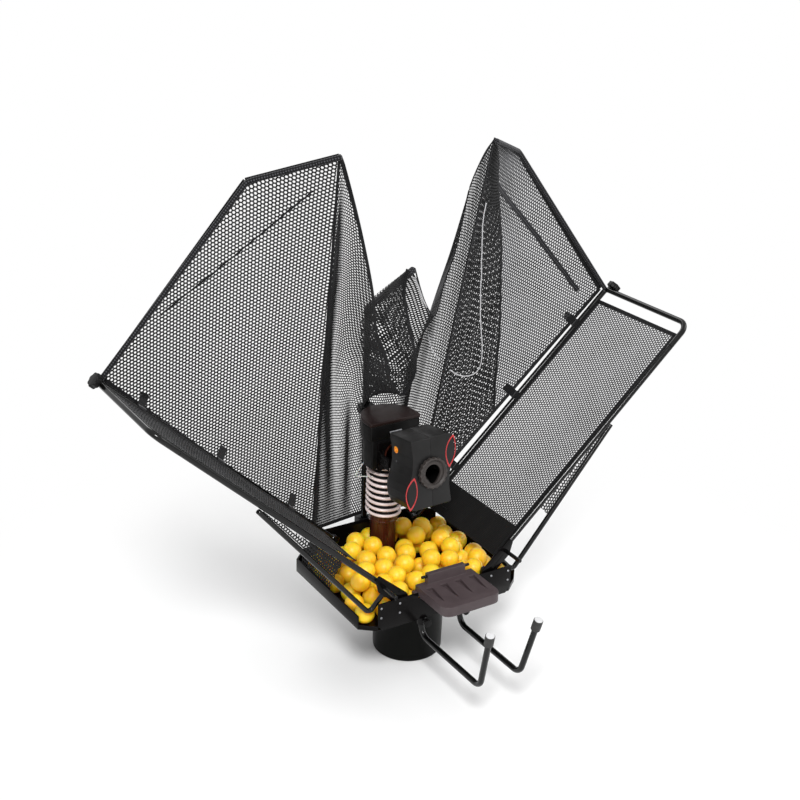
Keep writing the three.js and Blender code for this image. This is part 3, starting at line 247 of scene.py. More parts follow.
def celluloid():
    """Celluloid ball: a thin orange shell that glows yellow where light falls on it."""
    material, tree = blank("orange_celluloid")
    place = add(tree, "ShaderNodeTexCoord").outputs["Object"]
    lot = add(tree, "ShaderNodeAttribute", attribute_name="lot").outputs["Fac"]
    haze, fine = (add(tree, "ShaderNodeTexNoise", {"Vector": place, "Scale": 1 / (size * MM), "Detail": detail})
                  for size, detail in ((14, 3.0), (0.8, 1.0)))
    both = add(tree, "ShaderNodeMath", {0: haze, 1: lot}, operation="MULTIPLY")
    return finished(material, both, "#ffd12a #ffb81d", fine, 0.03, {
        "Roughness": 0.42, "Subsurface Weight": 0.8, "Subsurface Radius": (1.0, 0.45, 0.08),
        "Subsurface Scale": 0.018})


# Black knitted net: matt yarn that greys a little where it has been handled.
net_yarn = yarn_of("knitted_net_yarn", "#0b0b0b #222223", 0.66, 0.1)
# Grey knitted net of the right wing, which the photograph shows paler.
floor_yarn = yarn_of("pale_net_yarn", "#2a2a2b #4a4a4d", 0.6, 0.2)
# Herringbone tape on the rods: black with pale thread crossings, drawn at 2.6 mm to show.
rod_tape = weave_of("herringbone_tape", "#0b0b0c #47474b", 2.6, 0.75, 0.15, 0.42)
# Plain binding tape on the hems.
hem_tape = weave_of("plain_binding_tape", "#0a0a0b #1e1e20", 2.0, 0.8, 0.12)
# Hook-and-loop strap: a dense pile without shine.
hook_and_loop = weave_of("hook_and_loop_strap", "#09090a #1c1c1d", 1.4, 0.9, 0.5)
# Woven cloth panel at the foot of the right wing: fine black canvas.
canvas = weave_of("black_canvas", "#080808 #1a1919", 1.6, 0.85, 0.1)
# Pale elastic that edges the right bag.
elastic = weave_of("pale_elastic", "#a9a9ab #e0e0e2", 1.8, 0.7, 0.2, 0.3)
ball_skin = celluloid()

# Points and paths


def at(x, y, z):
    return np.array([x, y, z], float)


def unit(v):
    return v / np.linalg.norm(v)


def swung(v, axis, angle):
    axis = unit(axis)
    return (v * math.cos(angle) + np.cross(axis, v) * math.sin(angle)
            + axis * np.dot(axis, v) * (1 - math.cos(angle)))


def bent(corners, bends, steps=10):
    """The stations of a path with rounded corners: one radius for all of them, or one for each."""
    stations = [corners[0]]
    for i in range(1, len(corners) - 1):
        radius = bends[i - 1] if hasattr(bends, "__len__") else bends
        here = corners[i]
        back, on = unit(corners[i - 1] - here), unit(corners[i + 1] - here)
        half = math.acos(float(np.clip(np.dot(back, on), -1, 1))) / 2
        start = here + back * radius / math.tan(half)
        centre = here + unit(back + on) * radius / math.sin(half)
        axis = np.cross(back, on)
        stations += [centre + swung(start - centre, axis, -(math.pi - 2 * half) * k / steps)
                     for k in range(steps + 1)]
    return stations + [corners[-1]]


def run_along(path):
    """How far along a path each of its stations is."""
    return np.concatenate([[0], np.cumsum(np.linalg.norm(np.diff(path, axis=0), axis=1))])


def tangents(path):
    along = np.vstack([path[1:], path[-1:]]) - np.vstack([path[:1], path[:-1]])
    return along / np.linalg.norm(along, axis=1)[:, None]


def carried(along):
    """Side directions that turn with a path's tangents and no more."""
    seed = at(1, 0, 0) if abs(np.dot(UP, along[0])) > 0.95 else UP
    sides = [unit(seed - along[0] * np.dot(seed, along[0]))]
    for step in along[1:]:
        sides.append(unit(sides[-1] - step * np.dot(sides[-1], step)))
    return sides


def line(a, b):
    return lambda s: np.asarray(a) * (1 - s) + np.asarray(b) * s


def spline(stations):
    """A smooth path through stations, by their share of the length."""
    stations = np.array(stations, float)
    knots = run_along(stations)
    knots /= knots[-1]

    def place(s):
        i = int(np.clip(np.searchsorted(knots, s, side="right") - 1, 0, len(stations) - 2))
        a, b = stations[i], stations[i + 1]
        before = stations[i - 1] if i else 2 * a - b
        after = stations[i + 2] if i + 2 < len(stations) else 2 * b - a
        u = (s - knots[i]) / (knots[i + 1] - knots[i])
        return 0.5 * (2 * a + (b - before) * u + (2 * before - 5 * a + 4 * b - after) * u * u
                      + (3 * a - before - 3 * b + after) * u ** 3)
    return place


# Shapes: each is (points, faces, weave), where weave gives a face's corners their map places


def ring(radius, sides, dip=0, lobes=0):
    """A round outline, or one with lobes between dips."""
    outline = []
    for k in range(sides):
        a = TURN * k / sides
        reach = radius - dip * (1 - math.cos(lobes * a)) / 2
        outline.append((reach * math.cos(a), reach * math.sin(a)))
    return outline


def swept(path, section, normals=None, sizes=None):
    """A section of (across, up) pairs swept along a path."""
    path = np.array(path)
    along, run, count = tangents(path), run_along(path), len(section)
    normals = carried(along) if normals is None else normals
    sizes = np.ones(len(path)) if sizes is None else sizes
    girth = run_along(np.array([*section, section[0]]))
    points, faces, weave = [], [], []
    for i, spot in enumerate(path):
        up = unit(normals[i] - along[i] * np.dot(normals[i], along[i]))
        across = np.cross(along[i], up)
        points += [spot + (across * a + up * b) * sizes[i] for a, b in section]
    for i in range(len(path) - 1):
        here, far = i * count, (i + 1) * count
        for k in range(count):
            m = (k + 1) % count
            faces.append((here + k, here + m, far + m, far + k))
            weave.append([(run[i], girth[k]), (run[i], girth[k + 1]),
                          (run[i + 1], girth[k + 1]), (run[i + 1], girth[k])])
    for i in (0, len(path) - 1):
        faces.append(tuple(i * count + k for k in range(count)))
        weave.append([(run[i] + a, b) for a, b in section])
    return points, faces, weave


def tube(path, radius, sides=20, soft=0.8):
    """A round bar whose ends are eased."""
    path = [np.asarray(p, float) for p in path]
    first = path[0] + unit(path[1] - path[0]) * soft
    last = path[-1] + unit(path[-2] - path[-1]) * soft
    stations = [path[0], first, *path[1:-1], last, path[-1]]
    small = (radius - soft) / radius
    return swept(stations, ring(radius, sides), sizes=[small] + [1.0] * (len(stations) - 2) + [small])


def pipe(path, radius, bore, sides=32):
    """A round pipe with a wall and flat ends."""
    outer, inner = swept(path, ring(radius, sides)), swept(path, ring(bore, sides))
    count = len(outer[0])
    faces = outer[1][:-2] + [tuple(v + count for v in reversed(f)) for f in inner[1][:-2]]
    weave = outer[2][:-2] + [list(reversed(w)) for w in inner[2][:-2]]
    for first in (0, count - sides):
        for k in range(sides):
            m = (k + 1) % sides
            faces.append((first + k, count + first + k, count + first + m, first + m))
            weave.append([(0, 0)] * 4)
    return outer[0] + inner[0], faces, weave


def turned(profile, sides=48):
    """A closed profile of (radius, height) pairs turned about Z; a radius of 0 is a pole."""
    points, rows = [], []
    for radius, height in profile:
        rows.append([len(points) + (k if radius > 0 else 0) for k in range(sides)])
        points += [at(x, y, height) for x, y in (ring(radius, sides) if radius > 0 else [(0, 0)])]
    if profile[0][0] > 0 or profile[-1][0] > 0:
        rows.append(rows[0])
    faces = []
    for a, b in zip(rows, rows[1:]):
        for k in range(sides):
            m = (k + 1) % sides
            faces.append(tuple(dict.fromkeys([a[k], a[m], b[m], b[k]])))
    return points, [f for f in faces if len(f) > 2], None


def prism(outline, low, high):
    count = len(outline)
    points = [at(x, y, z) for z in (low, high) for x, y in outline]
    faces = [tuple(reversed(range(count))), tuple(range(count, 2 * count))]
    faces += [(k, (k + 1) % count, count + (k + 1) % count, count + k) for k in range(count)]
    return points, faces, None


def block(x0, x1, y0, y1, z0, z1):
    return prism([(x0, y0), (x1, y0), (x1, y1), (x0, y1)], z0, z1)


def moved(shape, place):
    return [place(p) for p in shape[0]], shape[1], shape[2]


def shifted(shape, y):
    return moved(shape, lambda p: p + at(0, y, 0))


def along_y(shape):
    """A shape drawn in X and Z, whose thickness or axis runs along Y."""
    return moved(shape, lambda p: at(p[0], p[2], p[1]))


def along_x(shape):
    return moved(shape, lambda p: at(p[2], p[0], p[1]))


def softened(outline, radius, steps=5):
    """A closed outline with its corners rounded: one radius, or one for each corner."""
    rounded = []
    for i, here in enumerate(outline):
        r = radius[i] if hasattr(radius, "__len__") else radius
        corner = [at(*p, 0) for p in (outline[i - 1], here, outline[(i + 1) % len(outline)])]
        rounded += [(p[0], p[1]) for p in bent(corner, r, steps)[1:-1]]
    return rounded


def strip(path, width, thick, normals, edge=0.3):
    """A flat tape along a path, its flat side to the normals."""
    x, y = width / 2, thick / 2
    section = [(-x, edge - y), (edge - x, -y), (x - edge, -y), (x, edge - y),
               (x, y - edge), (x - edge, y), (edge - x, y), (-x, y - edge)]
    return swept(path, section, normals)


# Making pieces


def link(name, mesh):
    piece = bpy.data.objects.new(name, mesh)
    bpy.context.scene.collection.objects.link(piece)
    return piece


def cleaned(mesh, merge=False):
    """Turns a mesh's faces outward, and merges a CAD mesh's facets first."""
    work = bmesh.new()
    work.from_mesh(mesh)
    if merge:
        bmesh.ops.remove_doubles(work, verts=work.verts, dist=0.01 * MM)
        bmesh.ops.dissolve_limit(work, angle_limit=math.radians(1.0), verts=work.verts, edges=work.edges)
    bmesh.ops.recalc_face_normals(work, faces=work.faces)
    work.to_mesh(mesh)
    work.free()
    return mesh


def raw(name, *shapes):
    """One object from shapes in millimetres, with their weave kept as a map."""
    points, faces, corners = [], [], []
    mapped = any(shape[2] for shape in shapes)
    for shape in shapes:
        base = len(points)
        points += [tuple(np.asarray(p) * MM) for p in shape[0]]
        faces += [tuple(v + base for v in f) for f in shape[1]]
        for f, w in zip(shape[1], shape[2] or [None] * len(shape[1])):
            corners += w or [(shape[0][v][0], shape[0][v][2]) for v in f]
    mesh = bpy.data.meshes.new(name)
    mesh.from_pydata(points, [], faces)
    if mapped:
        layer = mesh.uv_layers.new(name="weave")
        layer.data.foreach_set("uv", (np.array(corners, float).reshape(-1) * MM).astype(np.float32))
    return link(name, cleaned(mesh))


def dots(name, places=()):
    """An object of loose points, in millimetres."""
    mesh = bpy.data.meshes.new(name)
    mesh.from_pydata([tuple(np.asarray(p) * MM) for p in places], [], [])
    return link(name, mesh)


def settled(piece):
    """Turns a piece's modifiers into its plain mesh."""
    graph = bpy.context.evaluated_depsgraph_get()
    mesh = bpy.data.meshes.new_from_object(piece.evaluated_get(graph), preserve_all_data_layers=True,
                                           depsgraph=graph)
    piece.modifiers.clear()
    old, piece.data = piece.data, mesh
    mesh.name = piece.name
    bpy.data.meshes.remove(old)
    return piece


def eased(piece, width, segments=3, angle=30):
    """Rounds a piece's edges."""
    bevel = piece.modifiers.new("eased", "BEVEL")
    bevel.width, bevel.segments = width * MM, segments
    bevel.limit_method, bevel.angle_limit = "ANGLE", math.radians(angle)
    bevel.harden_normals = False
    return settled(piece)


def carved(piece, *shapes, operation="DIFFERENCE"):
    for shape in shapes:
        cutter = raw("cutter", shape)
        cut = piece.modifiers.new("carved", "BOOLEAN")
        cut.operation, cut.object, cut.solver = operation, cutter, "EXACT"
        settled(piece)
        bpy.data.objects.remove(cutter)
    return piece


def given_thickness(piece, thickness):
    wall = piece.modifiers.new("thickness", "SOLIDIFY")
    wall.thickness, wall.offset = thickness * MM, 0
    return settled(piece)


def keep(piece, material, body="base", node=None, angle=32, flatten=True):
    """Finishes a piece: its material, the body it rides on, the node it stands for."""
    piece.data.materials.clear()
    piece.data.materials.append(material)
    if flatten:
        piece.data.shade_smooth()
        piece.data.set_sharp_from_angle(angle=math.radians(angle))
    if node:
        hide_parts(node)
    if body:
        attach(piece, body)
    return piece


def refined(node, material, width, segments=2, body="base"):
    """A CAD node's own shape with merged facets and eased edges."""
    piece = link(node + "_refined", cleaned(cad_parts[node].data.copy(), merge=True))
    return keep(eased(piece, width, segments), material, body, node)


# Geometry trees


def new_tree(name, numbers=(), whole=(), vectors=()):
    tree = bpy.data.node_groups.new(name, "GeometryNodeTree")
    for names, kind in ((("Geometry",), "Geometry"), (numbers, "Float"), (whole, "Int"), (vectors, "Vector"),
                        (("Finish",), "Material")):
        for label in names:
            tree.interface.new_socket(label, in_out="INPUT", socket_type="NodeSocket" + kind)
    tree.interface.new_socket("Geometry", in_out="OUTPUT", socket_type="NodeSocketGeometry")
    return tree, add(tree, "NodeGroupInput").outputs


def end_tree(tree, given, geometry):
    real = add(tree, "GeometryNodeRealizeInstances", {0: geometry})
    coated = add(tree, "GeometryNodeSetMaterial", {"Geometry": real, "Material": given["Finish"]})
    add(tree, "NodeGroupOutput", {"Geometry": coated})
    return tree


def grown(piece, tree, material, **values):
    """Runs a tree on a piece with the named inputs and keeps the plain mesh."""
    modifier = piece.modifiers.new("grown", "NODES")
    modifier.node_group = tree
    values["Finish"] = material
    for item in tree.interface.items_tree:
        if item.in_out == "INPUT" and item.name in values:
            modifier[item.identifier] = values[item.name]
    return settled(piece)


def net_tree():
    """Six-sided cells on a staggered grid, laid over a sheet by its plan map."""
    tree, given = new_tree("knitted_cells", ("Pitch", "Strand", "Width", "Depth"), ("Columns", "Rows"), ("Middle",))
    grid = add(tree, "GeometryNodeMeshGrid", {"Size X": given["Width"], "Size Y": given["Depth"],
                                              "Vertices X": given["Columns"], "Vertices Y": given["Rows"]})
    index = add(tree, "GeometryNodeInputIndex")
    row = add(tree, "ShaderNodeMath", {0: index, 1: given["Rows"]}, operation="MODULO")
    odd = add(tree, "ShaderNodeMath", {0: row, 1: 2.0}, operation="MODULO")
    step = add(tree, "ShaderNodeMath", {0: given["Pitch"], 1: 0.5}, operation="MULTIPLY")
    shift = add(tree, "ShaderNodeMath", {0: odd, 1: step}, operation="MULTIPLY")
    offset = add(tree, "ShaderNodeCombineXYZ", {"X": shift})
    stagger = add(tree, "GeometryNodeSetPosition", {"Geometry": grid, "Offset": offset})
    centred = add(tree, "GeometryNodeTransform", {"Geometry": stagger, "Translation": given["Middle"]})
    corners = add(tree, "GeometryNodeTriangulate", {"Mesh": centred}, quad_method="SHORTEST_DIAGONAL")
    cells = add(tree, "GeometryNodeDualMesh", {"Mesh": corners})
    lifted = add(tree, "GeometryNodeExtrudeMesh", {"Mesh": cells, "Offset Scale": 0.0, "Individual": True},
                 mode="FACES").outputs
    thin = add(tree, "ShaderNodeMath", {0: given["Strand"], 1: given["Pitch"]}, operation="DIVIDE")
    left = add(tree, "ShaderNodeMath", {0: 1.0, 1: thin}, operation="SUBTRACT")
    shrunk = add(tree, "GeometryNodeScaleElements", {"Geometry": lifted["Mesh"], "Selection": lifted["Top"],
                                                     "Scale": left}, domain="FACE")
    holes = add(tree, "GeometryNodeDeleteGeometry", {"Geometry": shrunk, "Selection": lifted["Top"]},
                domain="FACE")
    plan = add(tree, "GeometryNodeInputNamedAttribute", {"Name": "plan"}, data_type="FLOAT_VECTOR")
    spot = add(tree, "GeometryNodeInputPosition")
    sample = add(tree, "GeometryNodeSampleUVSurface", {"Mesh": given["Geometry"], "Value": spot, "UV Map": plan,
                                                       "Sample UV": spot}, data_type="FLOAT_VECTOR").outputs
    outside = add(tree, "FunctionNodeBooleanMath", {0: sample["Is Valid"]}, operation="NOT")
    keeping = add(tree, "GeometryNodeCaptureAttribute", {"Geometry": holes})
    keeping.capture_items.new("BOOLEAN", "outside")
    tree.links.new(outside.outputs[0], keeping.inputs[1])
    laid = add(tree, "GeometryNodeSetPosition", {"Geometry": keeping, "Position": sample["Value"]})
    trimmed = add(tree, "GeometryNodeDeleteGeometry", {"Geometry": laid, "Selection": keeping.outputs[1]},
                  domain="POINT")
    return end_tree(tree, given, trimmed)


def stud_tree():
    """A domed head of a rivet or screw on each point, its flat side to the back."""
    tree, given = new_tree("domed_heads", ("Radius", "Height"))
    dome = add(tree, "GeometryNodeMeshUVSphere", {"Segments": 16, "Rings": 8, "Radius": given["Radius"]})
    flat = add(tree, "ShaderNodeMath", {0: given["Height"], 1: given["Radius"]}, operation="DIVIDE")
    scale = add(tree, "ShaderNodeCombineXYZ", {"X": 1.0, "Y": 1.0, "Z": flat})
    low = add(tree, "GeometryNodeTransform", {"Geometry": dome, "Scale": scale})
    heads = add(tree, "GeometryNodeInstanceOnPoints", {"Points": given["Geometry"], "Instance": low,
                                                       "Rotation": (TURN / 4, 0, 0)})
    return end_tree(tree, given, heads)


def ball_tree():
    """A ball on each point, each with its own lot number for a slight change of colour."""
    tree, given = new_tree("ball_heap", ("Radius",), ("Seed",))
    ball = add(tree, "GeometryNodeMeshIcoSphere", {"Radius": given["Radius"], "Subdivisions": 4})
    heap = add(tree, "GeometryNodeInstanceOnPoints", {"Points": given["Geometry"], "Instance": ball})
    lot = add(tree, "FunctionNodeRandomValue", {"Seed": given["Seed"]}, data_type="FLOAT").outputs[1]
    kept = add(tree, "GeometryNodeStoreNamedAttribute", {"Geometry": heap, "Name": "lot", "Value": lot},
               data_type="FLOAT", domain="INSTANCE")
    return end_tree(tree, given, kept)


def spring_tree():
    """A coil of round wire that narrows as it climbs."""
    tree, given = new_tree("coil_spring", ("Turns", "Lower", "Upper", "Height", "Wire"), (), ("Foot",))
    coil = add(tree, "GeometryNodeCurveSpiral", {
        "Resolution": 40, "Rotations": given["Turns"], "Start Radius": given["Lower"],
        "End Radius": given["Upper"], "Height": given["Height"]})
    placed = add(tree, "GeometryNodeTransform", {"Geometry": coil, "Translation": given["Foot"]})
    wire = add(tree, "GeometryNodeCurvePrimitiveCircle", {"Resolution": 14, "Radius": given["Wire"]})
    mesh = add(tree, "GeometryNodeCurveToMesh", {"Curve": placed, "Profile Curve": wire, "Fill Caps": True})
    return end_tree(tree, given, mesh)


NET_TREE, STUD_TREE, BALL_TREE, SPRING_TREE = net_tree(), stud_tree(), ball_tree(), spring_tree()

# Tray and tongue

SHEET, GAP = 2.5, 0.3
TUB_HALF, STUD_Y = 187, 0.2
RIVET_SPOTS = [(-150, -3), (-108, -3), (-60, -3), (-150, -24), (-108, -24), (60, -3), (108, -3), (150, -3),
               (108, -24), (150, -24)]

refined("tray_pan", enamel, 0.8)
refined("front_panel", enamel, 0.8)
refined("table_tongue", nylon_grained, 1.2, 3)
keep(raw("tongue_pin_bar", tube([at(-56, 7.5, 35), at(56, 7.5, 35)], 3, 24)), enamel_tube, node="tongue_pin")
for name, spots, radius, height, metal in (("panel_rivets", RIVET_SPOTS, 2.6, 1.4, zinc),
                                           ("brass_rivet", [(-29, -17)], 3.0, 1.6, brass)):
    heads = dots(name, [at(x, STUD_Y, z) for x, z in spots])
    keep(grown(heads, STUD_TREE, metal, Radius=radius * MM, Height=height * MM), metal, angle=60)

# Mixing drum and feed: profiles are (radius, height) pairs

DRUM_Y, COLUMN_Y = 140, 248
DRUM_TOP, DRUM_FOOT, DECK_TOP = -53.3, -207.3, -182.3
PIPE_R, PIPE_BORE, PIPE_AXIS_Z, PIPE_BEND, PIPE_TOP = 27.5, 24, -154.2, 37, 62
PIPE_REACH, PIPE_CUT = 45, 72
SHAFT_R, WHEEL_R, WHEEL_DIP, WHEEL_LOBES, WHEEL_TALL = 4.3, 56, 41, 5, 26
DRUM_FLOOR_R, DRUM_BEND = 66, 6
DRUM_ROUND = [(DRUM_FLOOR_R + DRUM_BEND * math.cos(a), DRUM_FOOT + DRUM_BEND + DRUM_BEND * math.sin(a))
              for a in (math.radians(15 * k - 90) for k in range(7))]
DRUM_CUP = [(0, DRUM_FOOT), *DRUM_ROUND, (75.4, DRUM_TOP - 9), (76, DRUM_TOP - 7.5), (76, DRUM_TOP),
            (73.5, DRUM_TOP), (69.5, DRUM_FOOT + DRUM_BEND), (DRUM_FLOOR_R, DRUM_FOOT + SHEET),
            (0, DRUM_FOOT + SHEET)]
DECK = [(SHAFT_R, DECK_TOP - 2), (69.2, DECK_TOP - 2), (69.2, DECK_TOP), (SHAFT_R, DECK_TOP)]
FEED_MOTOR = [(0, -204.5), (25.5, -204.5), (27, -203), (27, -186.1), (25.5, -184.6), (8, -184.6), (8, -184.61),
              (4, -184.6), (4, -156.8), (3.5, -156.3), (0, -156.3)]
COLLAR = [(27.8, 42), (29.7, 42), (30.5, 42.8), (30.5, 47), (30.0, 47.5), (30.0, 48.5), (30.5, 49),
          (30.5, 61.5), (29.7, 62.3), (27.8, 62.3)]


def feed_route(over):
    return bent([at(0, COLUMN_Y - PIPE_REACH - over, PIPE_AXIS_Z), at(0, COLUMN_Y, PIPE_AXIS_Z),
                 at(0, COLUMN_Y, PIPE_TOP + over)], PIPE_BEND, 16)


drum = raw("mixing_drum_cup", shifted(turned(DRUM_CUP, 96), DRUM_Y))
carved(drum, swept(feed_route(PIPE_CUT), ring(PIPE_R + GAP, 48)))
keep(drum, polyethylene, node="mixing_drum", angle=28)
keep(raw("drum_deck_plate", shifted(turned(DECK, 64), DRUM_Y)), primer, node="drum_deck")
keep(raw("feed_motor_can", shifted(turned(FEED_MOTOR, 48), DRUM_Y)), motor_can, node="feed_motor")
wheel_low = DECK_TOP + GAP
lobes = prism(ring(WHEEL_R, WHEEL_LOBES * 30, WHEEL_DIP, WHEEL_LOBES), wheel_low, wheel_low + WHEEL_TALL)
wheel = eased(raw("feed_wheel_lobes", shifted(lobes, DRUM_Y)), 1.5, 3, 50)
carved(wheel, shifted(prism(ring(SHAFT_R, 32), DECK_TOP - 5, DECK_TOP + 40), DRUM_Y))
keep(wheel, rubber, "feed_wheel", "feed_wheel")

# Feed column: the hose has shallow rings, as a wire-wound hose has

HOSE_FOOT, HOSE_TOP, HOSE_R, HOSE_BORE, HOSE_RINGS, RING_DEPTH = 62.3, 178, 29.3, 22, 16, 0.8
SPRING = {"Turns": 8.5, "Lower": 35.2 * MM, "Upper": 33.6 * MM, "Height": 114.7 * MM, "Wire": 3.2 * MM,
          "Foot": (0, COLUMN_Y * MM, 59.3 * MM)}

hose_step = (HOSE_TOP - HOSE_FOOT) / HOSE_RINGS
hose = [(HOSE_R - RING_DEPTH * (1 + math.cos(TURN * k / 6)) / 2, HOSE_FOOT + hose_step * (i + k / 6))
        for i in range(HOSE_RINGS) for k in range(6)]
hose += [(HOSE_R - RING_DEPTH, HOSE_TOP), (HOSE_BORE, HOSE_TOP), (HOSE_BORE, HOSE_FOOT)]
keep(raw("feed_pipe_bend", pipe(feed_route(0), PIPE_R, PIPE_BORE, 48)), pipe_brown, node="feed_pipe")
keep(raw("column_collar", shifted(turned(COLLAR, 64), COLUMN_Y)), pipe_brown, node="pipe_collar")
keep(raw("inner_hose_rings", shifted(turned(hose, 64), COLUMN_Y)), rubber, node="inner_hose", angle=50)
keep(grown(dots("column_spring"), SPRING_TREE, spring_coat, **SPRING), spring_coat, node="pipe_spring", angle=60)

# Pole and arm

POLE_Y, POLE_FOOT, POLE_TOP, POLE_R = 327, -30, 470, 7
ARM_Y, ARM_Z, ARM_RISE, ARM_BEND, TIE_R = 159, 612, 14, 7, 1.1
# Thin tie from the pole to the spring: its bends in the photograph's pixels, with their depths
TIE_BENDS = [((366.5, 458.0), 320), ((360.0, 468.0), 312), ((355.8, 475.6), 290), ((364.0, 476.4), 262),
             ((372.5, 476.5), 236)]

refined("pole_foot", abs_textured, 1.2, 3)
refined("box_bracket", abs_textured, 1.2, 3)
keep(raw("net_pole_tube", tube([at(0, POLE_Y, POLE_FOOT), at(0, POLE_Y, POLE_TOP)], POLE_R, 32)), enamel_tube,
     node="net_pole")
arm_route = bent([at(0, POLE_Y, POLE_TOP + GAP), at(0, POLE_Y, POLE_TOP + ARM_RISE), at(0, ARM_Y, ARM_Z)],
                 ARM_BEND)
keep(raw("pole_arm_sleeve", tube(arm_route, POLE_R, 32, 1.5)), rod_tape, node="pole_arm")
tie_line = spline([seen_behind(*bend) for bend in TIE_BENDS])
keep(raw("column_tie_wire", tube([tie_line(k / 30) for k in range(31)], TIE_R, 12, 0.3)), nylon_tie)

# Control box and turret: hollow shells with a D-shaped outline

WALL, CABLE_R = 2.8, 9.3
# Outlines as half width, front and back, and the heights of each part
BOX_DEE, COVER_DEE, TURRET_DEE = (58, 207, 292), (59.6, 205.4, 292), (53, 209, 284)
BOX_FOOT, BOX_TOP, COVER_TOP, TURRET_FOOT, TURRET_TOP = 246, 277, 285.3, 182, 245.7
NECK = [(0, 179), (31.2, 179), (32, 179.8), (32, 184.8), (0, 184.8)]
SPINDLE = [(0, 242.7), (9, 242.7), (9, 260.7), (8.2, 261.5), (0, 261.5)]
ELBOW_Z, ELBOW_BEND, ELBOW_R, ELBOW_BORE = 209, 28.5, 25, 22
ELBOW_FOOT, ELBOW_MOUTH, ELBOW_CUT = 178.3, 205, 6


def dee(half, front, back, margin=0, steps=48):
    x, shoulder = half - margin, front + 24
    reach = back - margin - shoulder
    return [(-x, front + margin), (x, front + margin)] + [
        (x * math.cos(math.pi * i / steps), shoulder + reach * math.sin(math.pi * i / steps))
        for i in range(steps + 1)]


def dee_shell(name, outline, bottom, top, inside_top):
    shell = eased(raw(name, prism(softened(dee(*outline), 3), bottom, top)), 1.6, 3, 40)
    return carved(shell, prism(dee(*outline, WALL), bottom + WALL, inside_top))


def elbow_route(foot, mouth):
    return bent([at(0, COLUMN_Y, foot), at(0, COLUMN_Y, ELBOW_Z), at(0, mouth, ELBOW_Z)], ELBOW_BEND, 16)


box = dee_shell("control_box_shell", BOX_DEE, BOX_FOOT, BOX_TOP, BOX_TOP + 13)
carved(box, shifted(prism(ring(CABLE_R, 32), BOX_FOOT - 6, BOX_FOOT + 6), COLUMN_Y))
keep(box, abs_textured, node="control_box")
cover = raw("control_box_cover", prism(softened(dee(*COVER_DEE), 4), BOX_TOP + GAP, COVER_TOP))
keep(eased(cover, 2.2, 4, 40), abs_cover, node="box_cover")
refined("pan_motor", motor_can, 0.8)

turret = dee_shell("turret_shell", TURRET_DEE, TURRET_FOOT, TURRET_TOP, TURRET_TOP - 3)
carved(turret, shifted(turned(NECK, 64), COLUMN_Y), shifted(turned(SPINDLE, 32), COLUMN_Y), operation="UNION")
carved(turret, swept(elbow_route(ELBOW_FOOT - ELBOW_CUT, ELBOW_MOUTH - ELBOW_CUT), ring(ELBOW_R + GAP, 48)))
keep(turret, abs_textured, "turret", "turret_housing")
keep(raw("ball_elbow_bend", pipe(elbow_route(ELBOW_FOOT, ELBOW_MOUTH), ELBOW_R, ELBOW_BORE, 48)), pipe_brown,
     "turret", "ball_elbow")
refined("tilt_bracket", enamel, 0.6, body="turret")

# Head, in its own coordinates: Y runs back along the nozzle's axis, from the trunnions

HEAD_TILT, PIVOT = math.radians(8), at(0, 178, 209)
FLANK = [(-43.7, 69.8), (-40.5, 36), (-41.9, 14.4), (-46.8, -3.6), (-54.2, -20.2), (-57, -36), (-54.7, -54),
         (-47.9, -72)]
HEAD_OUTLINE = FLANK + [(-x, -z) for x, z in FLANK]
OUTER_ROUNDS, INNER_ROUNDS = [3, 15, 9, 9, 9, 9, 9, 8] * 2, [4, 12, 8, 8, 8, 8, 8, 8] * 2
SHELL_FRONT, SHELL_BACK, THROAT_R = -109, -29, 24.5
WINDOW_Y, WINDOW_Z, WINDOW_R = -47, 39.6, 6
GRIP_R, GRIP_BUMPS, GRIP_FRONT, GRIP_BACK = 32, 18, -119.3, -109.3
LINER_Y, LINER_R, LINER_THICK, DROP_R, DROP_TIP = -112, 24.3, 5, 17.5, 5.5
WHEEL_Y, WHEEL_Z = -69, 42
CHEEK_OUT, CHEEK_IN, CHEEK_BACK, CHEEK_HALF, FOOT_IN, FOOT_FRONT = 37.7, 34.7, -28.7, 8, 30.5, -21.7
CRADLE_RING = [(24, -28.7), (32.4, -28.7), (33, -28.1), (33, -15.3), (32.4, -14.7), (24, -14.7)]
GRIP_BORE = [(0, -125), (27.6, -125), (27.6, -119.2), (24.5, -116.2), (24.5, -100), (0, -100)]
TYRE = [(3.3, -8.5), (22.9, -8.5), (23.5, -7.9), (22, -4), (21, 0), (22, 4), (23.5, 7.9), (22.9, 8.5), (3.3, 8.5)]
THROW_MOTOR = [(0, -8.5), (3, -8.5), (3, 9.1), (12.5, 9.1), (13.5, 10.1), (13.5, 50), (12.5, 51), (0, 51)]


def of_head(p):
    c, s = math.cos(HEAD_TILT), math.sin(HEAD_TILT)
    return PIVOT + at(p[0], p[1] * c + p[2] * s, p[2] * c - p[1] * s)


def laid_on_head(piece):
    """Brings a finished mesh from the head's own coordinates to its place."""
    piece.data.transform(Matrix.Scale(1 / MM, 4))
    for vertex in piece.data.vertices:
        vertex.co = of_head(np.array(vertex.co)) * MM
    return piece


def shrunk(outline, margin):
    """An outline that runs anticlockwise, moved inward by a margin."""
    inner = []
    for i, here in enumerate(outline):
        before, after = np.array(outline[i - 1]), np.array(outline[(i + 1) % len(outline)])
        here = np.array(here)
        a, b = unit(here - before), unit(after - here)
        na, nb = np.array([-a[1], a[0]]), np.array([-b[1], b[0]])
        inner.append(here + (na + nb) * margin / (1 + np.dot(na, nb)))
    return [tuple(p) for p in inner]


